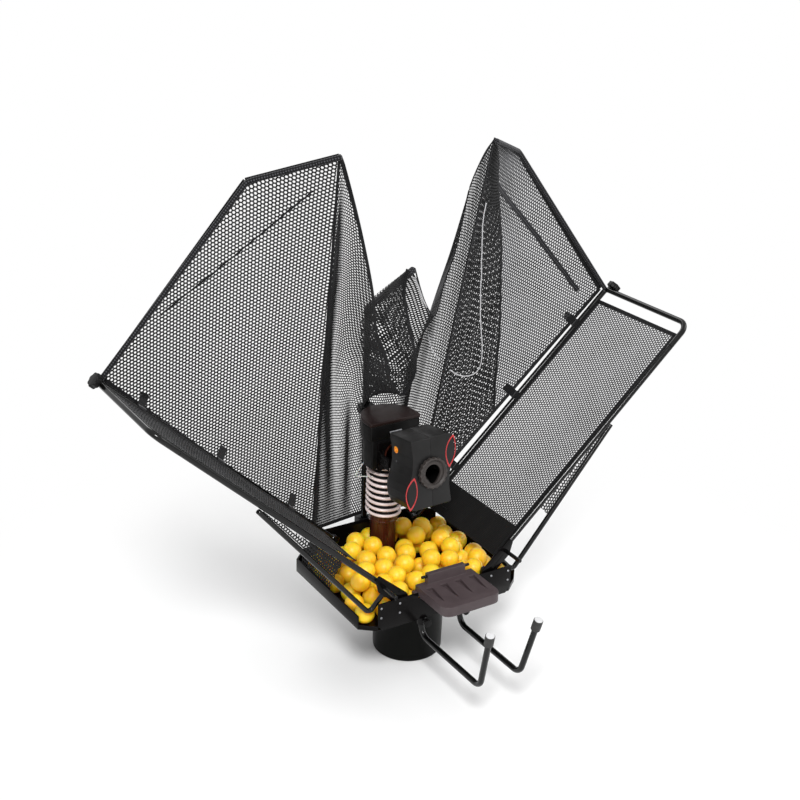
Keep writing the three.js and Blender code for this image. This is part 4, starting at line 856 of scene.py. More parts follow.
def head_shell(side):
    name = f"head_{SIDES[side]}_shell"
    shell = eased(raw(name, along_y(prism(softened(HEAD_OUTLINE, OUTER_ROUNDS, 6), SHELL_FRONT, SHELL_BACK))),
                  1.6, 3, 50)
    inner = softened(shrunk(HEAD_OUTLINE, WALL), INNER_ROUNDS, 4)
    carved(shell, along_y(prism(inner, SHELL_FRONT + WALL, SHELL_BACK - WALL)),
           block(*sorted((side * 0.15, -side * 120)), -220, 110, -120, 120))
    eased(shell, 0.5, 2, 60)
    carved(shell, along_y(prism(ring(THROAT_R, 64), SHELL_FRONT - 6, 6)))
    if side < 0:
        carved(shell, moved(prism(ring(WINDOW_R, 32), -120, -22),
                            lambda p: at(p[2], p[0] + WINDOW_Y, p[1] + WINDOW_Z)))
    keep(laid_on_head(shell), abs_polished, "head", f"head_shell_{SIDES[side]}", 40)


def nozzle():
    """The grip ring: 18 rounded bumps round a bore whose rim is chamfered; inside, a drop-shaped liner."""
    bumps = prism(ring(GRIP_R, GRIP_BUMPS * 8, 2.2, GRIP_BUMPS), GRIP_FRONT, GRIP_BACK)
    grip = eased(raw("nozzle_grip", along_y(bumps)), 1.2, 3, 50)
    carved(grip, along_y(turned(GRIP_BORE, 64)))
    keep(laid_on_head(grip), soft_touch, "head", "nozzle_ring", 40)
    spots, count = [], 48
    for outer in (True, False):
        for k in range(count):
            a = TURN * k / count
            drop = DROP_R + DROP_TIP * max(0.0, 1 - abs(math.remainder(a, TURN)) / 0.8)
            radius = LINER_R if outer else drop
            spots.append(of_head(at(radius * math.sin(a), LINER_Y, -radius * math.cos(a))))
    faces = [(k, (k + 1) % count, count + (k + 1) % count, count + k) for k in range(count)]
    liner = given_thickness(raw("nozzle_liner", (spots, faces, None)), LINER_THICK)
    keep(liner, soft_touch, "head", flatten=False)


cradle = [along_y(turned(CRADLE_RING, 64))]
for side in (-1, 1):
    cradle += [block(*sorted((side * CHEEK_OUT, side * inside)), CHEEK_BACK, front, -CHEEK_HALF, CHEEK_HALF)
               for inside, front in ((CHEEK_IN, CHEEK_HALF), (FOOT_IN, FOOT_FRONT))]
    cradle.append(tube([at(side * (CHEEK_OUT - 1.5), 0, 0), at(side * (CHEEK_OUT + 3.3), 0, 0)], 4, 24, 0.4))
keep(raw("tilt_cradle_ring", *[moved(shape, of_head) for shape in cradle]), enamel, "cradle", "tilt_cradle")
for side in (-1, 1):
    head_shell(side)
nozzle()
for side, level in ((1, "upper"), (-1, "lower")):
    middle = at(0, WHEEL_Y, side * WHEEL_Z)
    tyre = moved(along_x(turned(TYRE, 64)), lambda p: of_head(middle + p))
    keep(raw(f"throw_tyre_{level}", tyre), rubber, f"wheel_{level}", f"throw_wheel_{level}")
    case = moved(along_x(turned(THROW_MOTOR, 48)), lambda p: of_head(middle + at(side * p[0], p[1], p[2])))
    keep(raw(f"throw_motor_can_{level}", case), motor_can, "head", f"throw_motor_{level}")

# Details of the head: plain almond rings, the amber window, a screw; and the bar under the box

HEAD_FACE, HEAD_FACING = of_head(at(0, SHELL_FRONT - 0.15, 0)), of_head(at(0, -1, 0)) - of_head(at(0, 0, 0))
# Each almond ring: its two tips and the bulge to either side, in the photograph's pixels
ALMOND_RINGS = {"left": ((414.5, 478.0), (410.4, 511.6), 6.6, 5.0),
                "right": ((453.3, 434.0), (449.2, 467.2), 5.6, 4.2)}
ALMOND_LINE, ALMOND_STEPS = 0.15, 28
LENS = [(0, 2.2), (3.0, 1.9), (5.6, 1.2), (7.2, 0.2), (7.2, -0.6), (5.8, -0.6), (5.8, -3.0), (0, -3.0)]
FLANK_SCREW = [(0, 0.9), (1.4, 0.8), (2.4, 0.2), (2.4, -1.5), (0, -1.5)]
BAR_PIXELS, BOX_FACE_Y = ((389.5, 432.6), (401.7, 429.5)), 206


def almond_ring(name, a, b, out_left, out_right):
    """A closed band between two pointed ovals, flat on the head's face."""
    a, along = np.array(a), np.array(b) - np.array(a)
    across = unit(np.array([-along[1], along[0]]))
    shares = [k / ALMOND_STEPS for k in range(ALMOND_STEPS)]
    edge = [a + along * s + across * out_left * math.sin(math.pi * s) ** 0.8 for s in shares]
    edge += [a + along * (1 - s) - across * out_right * math.sin(math.pi * (1 - s)) ** 0.8 for s in shares]
    edge, count = np.array(edge), 2 * ALMOND_STEPS
    middle = edge.mean(axis=0)
    inner = middle + (edge - middle) * (1 - ALMOND_LINE)
    spots = [seen_on(pixel, HEAD_FACE, HEAD_FACING) for pixel in (*edge, *inner)]
    faces = [(k, (k + 1) % count, count + (k + 1) % count, count + k) for k in range(count)]
    keep(given_thickness(raw(f"head_ring_{name}", (spots, faces, None)), 0.5), decal_film, "head", flatten=False)


for name, ring_shape in ALMOND_RINGS.items():
    almond_ring(name, *ring_shape)
for name, profile, z, material in (("amber_lens", LENS, WINDOW_Z, amber), ("head_flank_screw", FLANK_SCREW, 16, zinc)):
    spot = at(-41.6, WINDOW_Y, z)
    keep(raw(name, moved(turned(profile, 32), lambda p: of_head(spot + at(-p[2], p[0], p[1])))), material, "head")
keep(raw("box_front_bar", tube([seen_behind(pixel, BOX_FACE_Y) for pixel in BAR_PIXELS], 2.4, 16)), zinc)

# Hooks

HOOK_LEG, HOOK_Z, SCREW_Z = (46, 17), -102, -64
HOOK_TIP = at(0, -207, HOOK_Z), at(9, -242, 34)
GRIP_RUN, SCREW_RUN = (-25.6, -15.6), (-18.1, -9.6)
PAD_SLEEVE = [(0, 0), (6.3, 0), (6.3, -18), (8.7, -18), (9.3, -17.4), (9.3, -6), (8.9, -5.6), (8.9, -4.6),
              (9.3, -4.2), (9.3, 4.5), (9.0, 5.2), (8.4, 5.6), (0, 5.6)]
PAD_FACE = [(0, 5.6), (8.2, 5.6), (8.2, 6.2), (7.4, 7), (0, 7)]
BUSH = [(6.3, -76), (8.7, -76), (9.3, -75.4), (9.3, -50.2), (12.2, -50.2), (12.2, -48.3), (11.6, -47.7),
        (9.3, -47.7), (9.3, -34.6), (8.7, -34), (6.3, -34)]


def hooks(side):
    name = SIDES[side]
    lean = unit(HOOK_TIP[1] - HOOK_TIP[0])
    end = HOOK_TIP[1] - lean * 7.3
    seat, across = end + lean * GAP, unit(np.cross(at(0, 1, 0), lean))
    deep = np.cross(lean, across)

    def place(p):
        return at(side * (HOOK_LEG[0] + p[0]), HOOK_LEG[1] + p[1], p[2])

    def on_tip(p):
        return place(seat + across * p[0] + deep * p[1] + lean * p[2])

    def on_screw(p):
        return place(p + at(0, 0, SCREW_Z))

    route = bent([at(0, 0, -6), at(0, 0, HOOK_Z), HOOK_TIP[0], end], 24, 14)
    keep(raw(f"hook_tube_{name}", moved(tube(route, 6, 32, 1.0), place)), enamel_tube, f"hook_{name}",
         f"hook_{name}")
    keep(raw(f"hook_pad_sleeve_{name}", moved(turned(PAD_SLEEVE, 40), on_tip)), pad_rubber, f"hook_{name}",
         f"hook_pad_{name}")
    # The pad's top face carries the painted highlight as its colour.
    keep(raw(f"hook_pad_face_{name}", moved(turned(PAD_FACE, 40), on_tip)), painted_highlight_pad_top, f"hook_{name}")
    keep(raw(f"hook_bush_sleeve_{name}", moved(turned(BUSH, 48), place)), abs_textured, f"bush_{name}",
         f"hook_bush_{name}")
    grip = along_y(prism(ring(8, 96, 0.6, 12), *GRIP_RUN))
    knob = eased(raw(f"hook_screw_knob_{name}", moved(grip, on_screw)), 1.0, 3, 50)
    carved(knob, moved(along_y(prism(ring(3, 24), *SCREW_RUN)), on_screw), operation="UNION")
    keep(knob, abs_textured, f"screw_{name}", f"hook_screw_{name}")


for side in (-1, 1):
    hooks(side)

# Wings, in their own coordinates: u along the rail, y back, v up from the rails

HINGE_X, HINGE_Z, WING_ANGLE = 100, 2, math.radians(42.7)
RAIL_R, RAIL_FRONT, RAIL_BACK, RAIL_END, REACH = 6, 14, 279, 604, 664
STRUT_U, STRUT_END_U, STRUT_DEEP, STRUT_END_V = 41, 400, -59, -11.3
STRUT_R, ROD_R, PEG_R = 5, 5.0, 4
PEG_U, PEG_LONG, KNOB_U, KNOB_Y, KNOB_THICK = 60, 58, 670.3, 264, 12
KNOB_R, KNOB_DIP, KNOB_LOBES = 15, 1.8, 7
ROD_FOOT, ROD_BEND, ROD_TIP = (662, 277, 6.3), (683.5, 248, 446), (621, 143, 575)
EYE = [(4.3, -6), (9.4, -6), (10, -5.4), (10, 5.4), (9.4, 6), (4.3, 6)]
GUSSET = [(-15, -7.5), (0, -15), (60.5, -15), (84, 0), (84, 12), (0, 15), (-15, 7.5)]
GUSSET_FRONT, GUSSET_BACK, PIN_R = 5.2, 7.7, 4.3


def of_wing(u, y, v, side):
    c, s = math.cos(WING_ANGLE), math.sin(WING_ANGLE)
    return at(side * (HINGE_X + u * c - v * s), y, HINGE_Z + u * s + v * c)


def into_wing(x, y, z):
    c, s = math.cos(WING_ANGLE), math.sin(WING_ANGLE)
    dx, dz = x - HINGE_X, z - HINGE_Z
    return at(dx * c + dz * s, y, dz * c - dx * s)


def wings(side):
    name = SIDES[side]

    def on_wing(shape):
        return moved(shape, lambda p: of_wing(*p, side))

    def part(label, node, material, *shapes):
        keep(raw(f"{label}_{name}", *[on_wing(shape) for shape in shapes]), material, f"wing_{name}",
             node and f"{node}_{name}")

    for label, y in (("front", RAIL_FRONT), ("back", RAIL_BACK)):
        eye = moved(turned(EYE, 40), lambda p: at(p[0], y + p[2], p[1]))
        part(f"{label}_rail_bar", f"{label}_rail", enamel_tube, eye,
             tube([at(9.5, y, 0), at(RAIL_END, y, 0)], RAIL_R, 32, 0.6))
    bow = bent([at(RAIL_END + GAP, RAIL_FRONT, 0), at(REACH, RAIL_FRONT, 0), at(REACH, RAIL_BACK, 0),
                at(RAIL_END + GAP, RAIL_BACK, 0)], [24, 8], 14)
    part("end_bow_tube", "end_bow", enamel_tube, tube(bow, RAIL_R, 32, 0.6))
    strut = bent([at(STRUT_U, RAIL_FRONT, -6.3), at(STRUT_U, RAIL_FRONT, STRUT_DEEP),
                  at(STRUT_END_U, RAIL_FRONT, STRUT_END_V)], 10)
    part("wing_strut_tube", "wing_strut", enamel_tube, tube(strut, STRUT_R, 28, 0.6))
    part("rail_peg", None, enamel_tube,
         tube([at(PEG_U, RAIL_FRONT - 6.3, -1), at(PEG_U, RAIL_FRONT - PEG_LONG, -1)], PEG_R, 20, 0.8))
    plate = raw(f"hinge_gusset_plate_{name}",
                on_wing(along_y(prism(softened(GUSSET, [4, 4, 4, 3, 3, 4, 4]), GUSSET_FRONT, GUSSET_BACK))))
    carved(plate, on_wing(along_y(prism(ring(PIN_R, 32), 0, 12))))
    keep(eased(plate, 0.6, 2, 50), enamel, f"wing_{name}", f"hinge_gusset_{name}")
    rod_route = bent([at(*ROD_FOOT), at(*ROD_BEND), at(*ROD_TIP)], 26, 14)
    part("net_rod_sleeve", "net_rod", rod_tape, tube(rod_route, ROD_R, 24, 1.2))
    lobes = prism(ring(KNOB_R, KNOB_LOBES * 16, KNOB_DIP, KNOB_LOBES), KNOB_U, KNOB_U + KNOB_THICK)
    knob = raw(f"clamp_knob_{name}", on_wing(moved(lobes, lambda p: at(p[2], KNOB_Y + p[0], p[1]))))
    keep(eased(knob, 1.8, 3, 50), abs_textured, f"knob_{name}", f"rod_knob_{name}")


for side in (-1, 1):
    wings(side)

# Nets: place(s, t) gives a sheet's point in millimetres

NET_THICK, CLOTH_THICK, ROW_SHARE = 1.4, 1.6, 0.866
# Pitch and strand of the cells of each net
FLOOR_CELLS, FOOT_CELLS, FOLD_CELLS = (6.4, 2.0), (6.4, 2.2), (8.0, 2.15)
SKIRT_CELLS, VALANCE_CELLS, ARM_CELLS = (7.4, 2.0), (7.0, 2.4), (7.6, 2.1)
BACK_CELLS = {-1: (7.2, 2.6), 1: (7.2, 2.45)}
BAG_CELLS = {-1: (7.0, 2.15), 1: (7.0, 2.45)}
YARN = {-1: net_yarn, 1: floor_yarn}


def sheet_grid(place, columns, rows):
    return np.array([[place(i / columns, k / rows) for k in range(rows + 1)] for i in range(columns + 1)])


def by_lengths(points):
    """A plan map that lays each column straight, at its real length."""
    across = np.linalg.norm(np.diff(points, axis=0), axis=-1).mean(axis=1)
    along = np.linalg.norm(np.diff(points, axis=1), axis=-1)
    x = np.concatenate([[0], np.cumsum(across)])[:, None] + np.zeros(points.shape[1])
    y = np.concatenate([np.zeros((len(points), 1)), np.cumsum(along, axis=1)], axis=1)
    return np.stack([x, y], axis=-1).reshape(-1, 2) * MM


def grid_sheet(name, points, draped=False, layer_name="plan"):
    """A plain sheet on a grid of points with a flat plan map; gives the object and its plan."""
    flat = points.reshape(-1, 3)
    middle = flat.mean(axis=0)
    axes = np.linalg.svd(flat - middle, full_matrices=False)[2]
    plan = by_lengths(points) if draped else (flat - middle) @ axes[:2].T * MM
    index = np.arange(len(flat)).reshape(points.shape[:2])
    faces = np.stack([index[:-1, :-1], index[1:, :-1], index[1:, 1:], index[:-1, 1:]], axis=-1).reshape(-1, 4)
    mesh = bpy.data.meshes.new(name)
    mesh.from_pydata([tuple(p * MM) for p in flat], [], faces.tolist())
    layer = mesh.uv_layers.new(name=layer_name)
    layer.data.foreach_set("uv", plan[faces.reshape(-1)].reshape(-1).astype(np.float32))
    return link(name, mesh), plan


def net(name, place, grid, yarn, body, cells, node=None, draped=False):
    """A knitted net of six-sided cells over a sheet; cells gives their pitch and strand."""
    points = sheet_grid(place, *grid)
    piece, plan = grid_sheet(name, points, draped)
    low, high = plan.min(axis=0), plan.max(axis=0)
    span, (pitch, strand) = high - low, (size * MM for size in cells)
    grown(piece, NET_TREE, yarn, Pitch=pitch, Strand=strand, Width=float(span[0]) + 2 * pitch,
          Depth=float(span[1]) + 2 * pitch, Columns=int(span[0] / pitch) + 3,
          Rows=int(span[1] / (ROW_SHARE * pitch)) + 3,
          Middle=(float(low[0] + high[0]) / 2, float(low[1] + high[1]) / 2, 0.0))
    return keep(given_thickness(piece, NET_THICK), yarn, body, node, flatten=False), points


def area_of(points):
    a, b = points[1:, :-1] - points[:-1, :-1], points[:-1, 1:] - points[:-1, :-1]
    c, d = points[:-1, 1:] - points[1:, 1:], points[1:, :-1] - points[1:, 1:]
    return (np.linalg.norm(np.cross(a, b), axis=-1).sum()
            + np.linalg.norm(np.cross(c, d), axis=-1).sum()) / 2 * MM * MM


def declared(piece, points, hems=()):
    """Works out the width and length of the cloth a sheet is cut from, and its area, and keeps none of them."""
    across = np.linalg.norm(np.diff(points, axis=0), axis=-1).sum(axis=0)
    along = np.linalg.norm(np.diff(points, axis=1), axis=-1).sum(axis=1)
    length = float(along.max()) * MM
    width = max(float(across.mean()) * MM, area_of(points) / length * 1.01)
    round(float(area_of(points)), 4)


def facing(points):
    """Unit normals of a sheet's grid."""
    normal = np.cross(np.gradient(points, axis=0), np.gradient(points, axis=1))
    length = np.linalg.norm(normal, axis=-1)[..., None]
    general = unit(normal.reshape(-1, 3).sum(axis=0))
    return np.where(length > 1e-6, normal / np.maximum(length, 1e-6), general)


def tape(name, path, up, size, body, cloth):
    """A tape along a path; size is its width and thickness, up is one direction or one for each station."""
    up = [up] * len(path) if np.ndim(up) == 1 else list(up)
    return keep(raw(name, strip(list(path), *size, up)), cloth, body)


EDGES = {"top": np.s_[:, -1], "outer": np.s_[-1, :], "bottom": np.s_[:, 0], "seam": np.s_[0, :]}


def edge_tape(name, points, edge, size, body):
    return tape(name, points[EDGES[edge]], facing(points)[EDGES[edge]], size, body, hem_tape)


def traced(pixels, points, lift, count=40):
    """A path on a sheet's grid under a line of pixels, lifted a little toward the camera."""
    shown, normal = seen_pixel(points), facing(points).reshape(-1, 3)
    line_of = spline([at(*pixel, 0) for pixel in pixels])
    path, normals = [], []
    for s in np.linspace(0, 1, count):
        gap = np.linalg.norm(shown - line_of(s)[:2], axis=-1).reshape(-1)
        nearest = np.argsort(gap)[:4]
        weight = 1 / (gap[nearest] + 0.05) ** 2
        weight = (weight / weight.sum())[:, None]
        spot = (points.reshape(-1, 3)[nearest] * weight).sum(axis=0)
        up = unit((normal[nearest] * weight).sum(axis=0))
        if np.dot(up, CAMERA_PLACE - spot) < 0:
            up = -up
        path.append(spot + up * lift)
        normals.append(up)
    middle = [(a + 2 * b + c) / 4 for a, b, c in zip(path, path[1:], path[2:])]
    return [path[0]] + middle + [path[-1]], normals


# Tapes on the nets, by side: name, pixels, lift, width and thickness, cloth. Lines are in the photograph's pixels.
BAND_LIFT = 2.2
LEFT_CREASE = [(315, 191), (299, 202), (262, 233), (214, 272), (185, 295), (160, 315)]
RIGHT_BAND = [(494, 180), (503, 194), (530, 228), (556, 262), (577, 290)]
RIGHT_SEAM = [(497, 150), (499, 208), (500, 264), (499, 320), (494, 393), (492, 430)]
# The pale elastic of the right bag: the part on the back net and the part on the inner net
ELASTIC_BACK = [(479, 200), (478, 237), (477, 308), (479, 355), (472, 372), (456, 374), (447, 368)]
ELASTIC_INNER = [(441, 360), (433, 350), (428, 329), (427, 308), (415, 276)]
BACK_LINES = {-1: [("back_crease_left", LEFT_CREASE, 1.2, (3.2, 1.2), hem_tape)],
              1: [("back_band_right", RIGHT_BAND, BAND_LIFT, (11, 2.0), rod_tape),
                  ("back_seam_band_right", RIGHT_SEAM, BAND_LIFT, (5, 2.0), hem_tape),
                  ("back_elastic_right", ELASTIC_BACK, 10, (2.6, 1.4), elastic)]}

# Back nets: their corners on the wing, apart from the foot, which is at the tub

BACK_FOOT, BACK_OUTER = (128, 323.5, 12), (656, 287.2, 8.2)
BACK_BEND, BACK_APEX = (683.5, 256.2, 446), (621, 151.2, 575)
BACK_HUMP, BACK_RIPPLE, FOLD_DEPTH = 6.0, 2.5, 5.0


def back_net(side):
    name, body = SIDES[side], f"wing_{SIDES[side]}"
    foot = of_wing(*into_wing(*BACK_FOOT), side)
    outer, bend_point, apex = (of_wing(*p, side) for p in (BACK_OUTER, BACK_BEND, BACK_APEX))
    outward = unit(np.cross(outer - foot, apex - foot))
    outward = outward if outward[1] > 0 else -outward

    def place(s, t):
        flat = line(line(foot, outer)(s), line(apex, bend_point)(s))(t)
        hump = math.sin(math.pi * s) * math.sin(math.pi * t)
        return flat + outward * (BACK_HUMP + BACK_RIPPLE * math.sin(3.0 * math.pi * s + 1.5 * t)) * hump

    piece, points = net(f"back_mesh_{name}", place, (40, 40), YARN[side], body, BACK_CELLS[side],
                        f"back_net_{name}")
    hems = [edge_tape(f"back_{edge}_tape_{name}", points, edge, (width, 2.4), body)
            for edge, width in (("top", 10), ("outer", 10), ("bottom", 9), ("seam", 5))]
    hems += [tape(label, *traced(pixels, points, lift), size, body, cloth)
             for label, pixels, lift, size, cloth in BACK_LINES[side]]
    if side > 0:
        inner_edge, fold_edge = spline(points[0, ::4]), spline(traced(RIGHT_SEAM, points, BAND_LIFT)[0])

        def fold_place(s, t):
            return line(inner_edge(1 - t * 0.98), fold_edge(t))(s) - outward * FOLD_DEPTH * math.sin(math.pi * s)

        fold, fold_points = net("back_fold_right", fold_place, (16, 40), net_yarn, body, FOLD_CELLS, draped=True)
        declared(fold, fold_points)
    declared(piece, points, hems)


# Floor nets between the rails; at the foot a cloth panel on the right, and half a mesh on the left

NET_START, NET_CLOTH, NET_END = 38, 109, 630
NET_FRONT, NET_BACK = RAIL_FRONT + 6.3, RAIL_BACK - 6.3
FOOT_MESH_FROM, CLOTH_LAP, NET_SAG, CLOTH_RIPPLE, HEM_INSET = 0.48, 4, 9, 1.2, 2.5


def floor_net(side):
    name, body = SIDES[side], f"wing_{SIDES[side]}"

    def place(s, t, start=NET_CLOTH, end=NET_END):
        u = start + (end - start) * s
        share = (u - NET_START) / (NET_END - NET_START)
        v = -NET_SAG * math.sin(math.pi * t) * math.sin(math.pi * share)
        return of_wing(u, NET_FRONT + (NET_BACK - NET_FRONT) * t, v, side)

    piece = net(f"floor_mesh_{name}", place, (48, 22), YARN[side], body, FLOOR_CELLS, f"floor_net_{name}")[0]
    up = unit(of_wing(0, 0, 1, side) - of_wing(0, 0, 0, side))
    for t, first, inset in ((0, NET_CLOTH if side < 0 else NET_START, HEM_INSET), (1, NET_START, -HEM_INSET)):
        path = [place(s, t, first) + at(0, inset, 0) for s in np.linspace(0, 1, 60)]
        tape(f"floor_hem_{name}_{t}", path, up, (7, 2.2), body, hem_tape)
    end = [place(1, t) for t in np.linspace(0, 1, 24)]
    tape(f"floor_end_hem_{name}", end, up, (9, 2.2), body, hem_tape)
    if side < 0:
        def foot_place(s, t):
            return place(s, FOOT_MESH_FROM + (1 - FOOT_MESH_FROM) * t, NET_START, NET_CLOTH)

        foot, points = net("foot_mesh_left", foot_place, (10, 14), net_yarn, body, FOOT_CELLS)
        declared(foot, points,
                 [edge_tape("foot_mesh_hem_left", points, "bottom", (5, 2.0), body)])
        return

    def cloth_place(s, t):
        ripple = CLOTH_RIPPLE * math.sin(38 * t) * math.sin(math.pi * s)
        return place(s, t, NET_START, NET_CLOTH + CLOTH_LAP) + at(0, 0, ripple)

    panel = grid_sheet(f"cloth_strip_{name}", sheet_grid(cloth_place, 14, 20), layer_name="weave")[0]
    keep(given_thickness(panel, CLOTH_THICK), canvas, body)


SKIRT_LOW, SKIRT_U, SKIRT_RUN = (184, -27), 57, {-1: (146, 270), 1: (215, 270)}
SKIRT_BULGE, VALANCE_RUN, VALANCE_BULGE = 5, (174, 392), 3
STRAP_PLACES, STRAP_WIDE, STRAP_THICK = (143, 350, 560), 18, 1.6


def blended(parts, side, start, end):
    for part in parts:
        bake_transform(part)


def side_skirt(side):
    """Net from the tub's side wall up to the wing's floor."""
    name, (first, last) = SIDES[side], SKIRT_RUN[side]

    def place(s, t):
        y = first + (last - first) * s
        low, high = at(side * SKIRT_LOW[0], y, SKIRT_LOW[1]), of_wing(SKIRT_U, y, -2, side)
        return line(low, high)(t) + at(side * SKIRT_BULGE * math.sin(math.pi * t), 0, 0)

    piece, points = net(f"side_skirt_{name}", place, (24, 12), net_yarn, None, SKIRT_CELLS)
    hems = [edge_tape(f"skirt_{label}_hem_{name}", points, edge, (6, 2.0), None)
            for label, edge in (("low", "bottom"), ("high", "top"))]
    blended([piece, *hems], side, points[12, 0], points[12, -1])
    declared(piece, points, hems)


def valance(side):
    """The net that closes the narrow triangle between front rail and strut."""
    name = SIDES[side]

    def place(s, t):
        u = VALANCE_RUN[0] + (VALANCE_RUN[1] - VALANCE_RUN[0]) * s
        strut = STRUT_DEEP + (u - STRUT_U) / (STRUT_END_U - STRUT_U) * (STRUT_END_V - STRUT_DEEP)
        low = min(strut + 5, -6.5)
        return of_wing(u, RAIL_FRONT - VALANCE_BULGE * math.sin(math.pi * t), -6 + (low + 6) * (1 - t), side)

    piece, points = net(f"valance_{name}", place, (60, 6), net_yarn, f"wing_{name}", VALANCE_CELLS, draped=True)
    declared(piece, points)


def straps(side):
    """Hook-and-loop straps that hold the back net to the back rail."""
    loops = []
    for u in STRAP_PLACES:
        loops.append(pipe([at(u + k, RAIL_BACK, 0) for k in (-9, -8.4, 8.4, 9)], RAIL_R + 1.8, RAIL_R + 0.1, 28))
        flap = [at(u, RAIL_BACK + 4 + k * 3, 6.5 + k * 4.5) for k in range(6)]
        loops.append(strip(flap, STRAP_WIDE, STRAP_THICK, [at(0, -0.8, 0.6)] * 6))
    keep(raw(f"rail_straps_{SIDES[side]}", *[moved(loop, lambda p: of_wing(*p, side)) for loop in loops]),
         hook_and_loop, f"wing_{SIDES[side]}")


# Inner nets: bags from each back net's seam to the pole and its arm, with a free top edge

POLE_BASE, POLE_LOW, POLE_KNEE, ARM_TIP = (3, 336, 16), (3, 336, 345), (3, 336, 477), (8.1, 166, 612)
KNEE_SHARE, LOW_STATION, BAG_FOLD, BAG_LIFT, ARM_SAG = 0.75, 7, 5.0, 2.5, 6
# The last share of a bag's width runs into the pole
AT_POLE = 0.18
# The free edges in the photograph's pixels, from the rod's tip to the arm's tip
FREE_EDGES = {-1: [(343, 165), (360, 230), (372, 290), (376, 331), (384, 352), (390, 380), (398, 394),
                   (403, 394), (414, 375), (415, 354), (409, 324), (404, 294)],
              1: [(484, 155), (470, 187), (462, 223), (455, 252), (444, 284), (435, 315), (424, 300)]}
# How far the middle of a free edge hangs behind the line between its ends, and how late the bag leans forward
EDGE_BACK, BAG_LEAN = {-1: 26, 1: 75}, {-1: 7, 1: 2}
BAG_TOP_TAPE = {-1: 8, 1: 2.5}
# Where a stretch of the bags would start at the pole and end at the wing: x, y and z; blended takes them and does not
# use them
STRETCH_FROM, STRETCH_TO = (20, 322, 300), (124, 322, 300)


def eased_step(value):
    value = min(max(value, 0.0), 1.0)
    return value * value * (3 - 2 * value)


def free_edge(side, apex, tip):
    """Stations of the free edge under its pixels, between the rod's tip and the arm's tip."""
    pixels, stations = FREE_EDGES[side], [apex]
    for i, pixel in enumerate(pixels):
        share = (i + 1) / (len(pixels) + 1)
        depth = apex[1] * (1 - share) + tip[1] * share + EDGE_BACK[side] * math.sin(math.pi * share)
        stations.append(seen_behind(pixel, depth))
    return stations + [tip]


def inner_net(side):
    name = SIDES[side]
    apex = of_wing(*BACK_APEX, side)
    foot, base, pole_low, knee_point, tip, start, end = (
        at(side * x, y, z) for x, y, z in (BACK_FOOT, POLE_BASE, POLE_LOW, POLE_KNEE, ARM_TIP, STRETCH_FROM,
                                           STRETCH_TO))
    stations = free_edge(side, apex, tip)
    top = spline(stations[:LOW_STATION + 1] + [pole_low] if side < 0 else stations)

    def pole_side(t):
        if side < 0:
            return line(base, pole_low)(t)
        if t < KNEE_SHARE:
            return line(base, knee_point)(t / KNEE_SHARE)
        return line(knee_point, tip)((t - KNEE_SHARE) / (1 - KNEE_SHARE))

    def place(s, t):
        low, high = line(foot, base)(s), top(s)
        spot = line(low, high)(t)
        lean = 1 + BAG_LEAN[side] * eased_step(s / 0.5)
        fold = math.sin(5.5 * math.pi * s + 0.8) * math.sin(math.pi * s) * math.sin(math.pi * t)
        spot[1] = low[1] + (high[1] - low[1]) * t ** lean + BAG_FOLD * fold
        return line(spot, pole_side(t))(eased_step((s - 1 + AT_POLE) / AT_POLE))

    piece, points = net(f"inner_mesh_{name}", place, (60, 60), net_yarn, None, BAG_CELLS[side],
                        f"inner_net_{name}", True)
    hems = [edge_tape(f"inner_{edge}_tape_{name}", points, edge, (width, 2.2), None)
            for edge, width in (("top", BAG_TOP_TAPE[side]), ("bottom", 8))]
    if side > 0:
        hems.append(tape("inner_elastic_right", *traced(ELASTIC_INNER, points, BAG_LIFT), (2.6, 1.4), None,
                         elastic))
    else:
        arm_net(spline([pole_low, knee_point, tip]), spline(stations[LOW_STATION:]))
    blended([piece, *hems], side, start, end)
    declared(piece, points, hems)


def arm_net(pole_edge, free):
    """The net under the pole's arm, from the pole to the second half of the left free edge."""
    def place(s, t):
        sag = ARM_SAG * math.sin(math.pi * s) * math.sin(TURN * t)
        return line(pole_edge(t), free(t))(s) + at(sag, 0, 0)

    piece, points = net("arm_mesh_left", place, (30, 40), net_yarn, "base", ARM_CELLS, draped=True)
    hem = edge_tape("arm_mesh_tape_left", points, "outer", (8, 2.2), "base")
    declared(piece, points, [hem])


for group in ((back_net,), (floor_net, side_skirt, valance, straps), (inner_net,)):
    for side in (-1, 1):
        for dress in group:
            dress(side)

# Balls: those the photograph shows, then more below and behind until the tub is full

BALL_R = 20.0
LAYER_0, LAYER_1 = -30.2, 3.0
# Pixel of each ball's centre and the height of its centre
SHOWN_BALLS = [(399.7, 528.7, LAYER_1), (416.6, 526.5, LAYER_1), (415.7, 536, LAYER_1),
               (425.2, 531.7, LAYER_0), (440.7, 538.5, LAYER_1), (450.1, 546.3, LAYER_1),
               (357.2, 542, LAYER_1), (374.4, 542.5, LAYER_1), (352, 551.1, LAYER_1),
               (366.6, 559.6, LAYER_1), (386.4, 555.8, LAYER_1), (406.2, 553.2, LAYER_1),
               (400.2, 546.3, -12), (428.6, 550.6, -10), (431.2, 558.4, 12), (449.3, 559.2, LAYER_1),
               (383.9, 568.7, LAYER_1), (405.4, 565.2, LAYER_1), (420, 567, LAYER_0),
               (394.2, 576.4, LAYER_1), (365.8, 573, LAYER_1), (348.6, 574.7, LAYER_0),
               (410.5, 581.6, LAYER_0), (397.6, 590.2, LAYER_1), (361.5, 583.3, -5),
               (352.9, 592.8, LAYER_0), (370.1, 596.2, LAYER_0), (352.9, 612.6, LAYER_0),
               (367.5, 620.3, LAYER_0), (473.4, 567.8, LAYER_1), (386.4, 583, LAYER_1)]
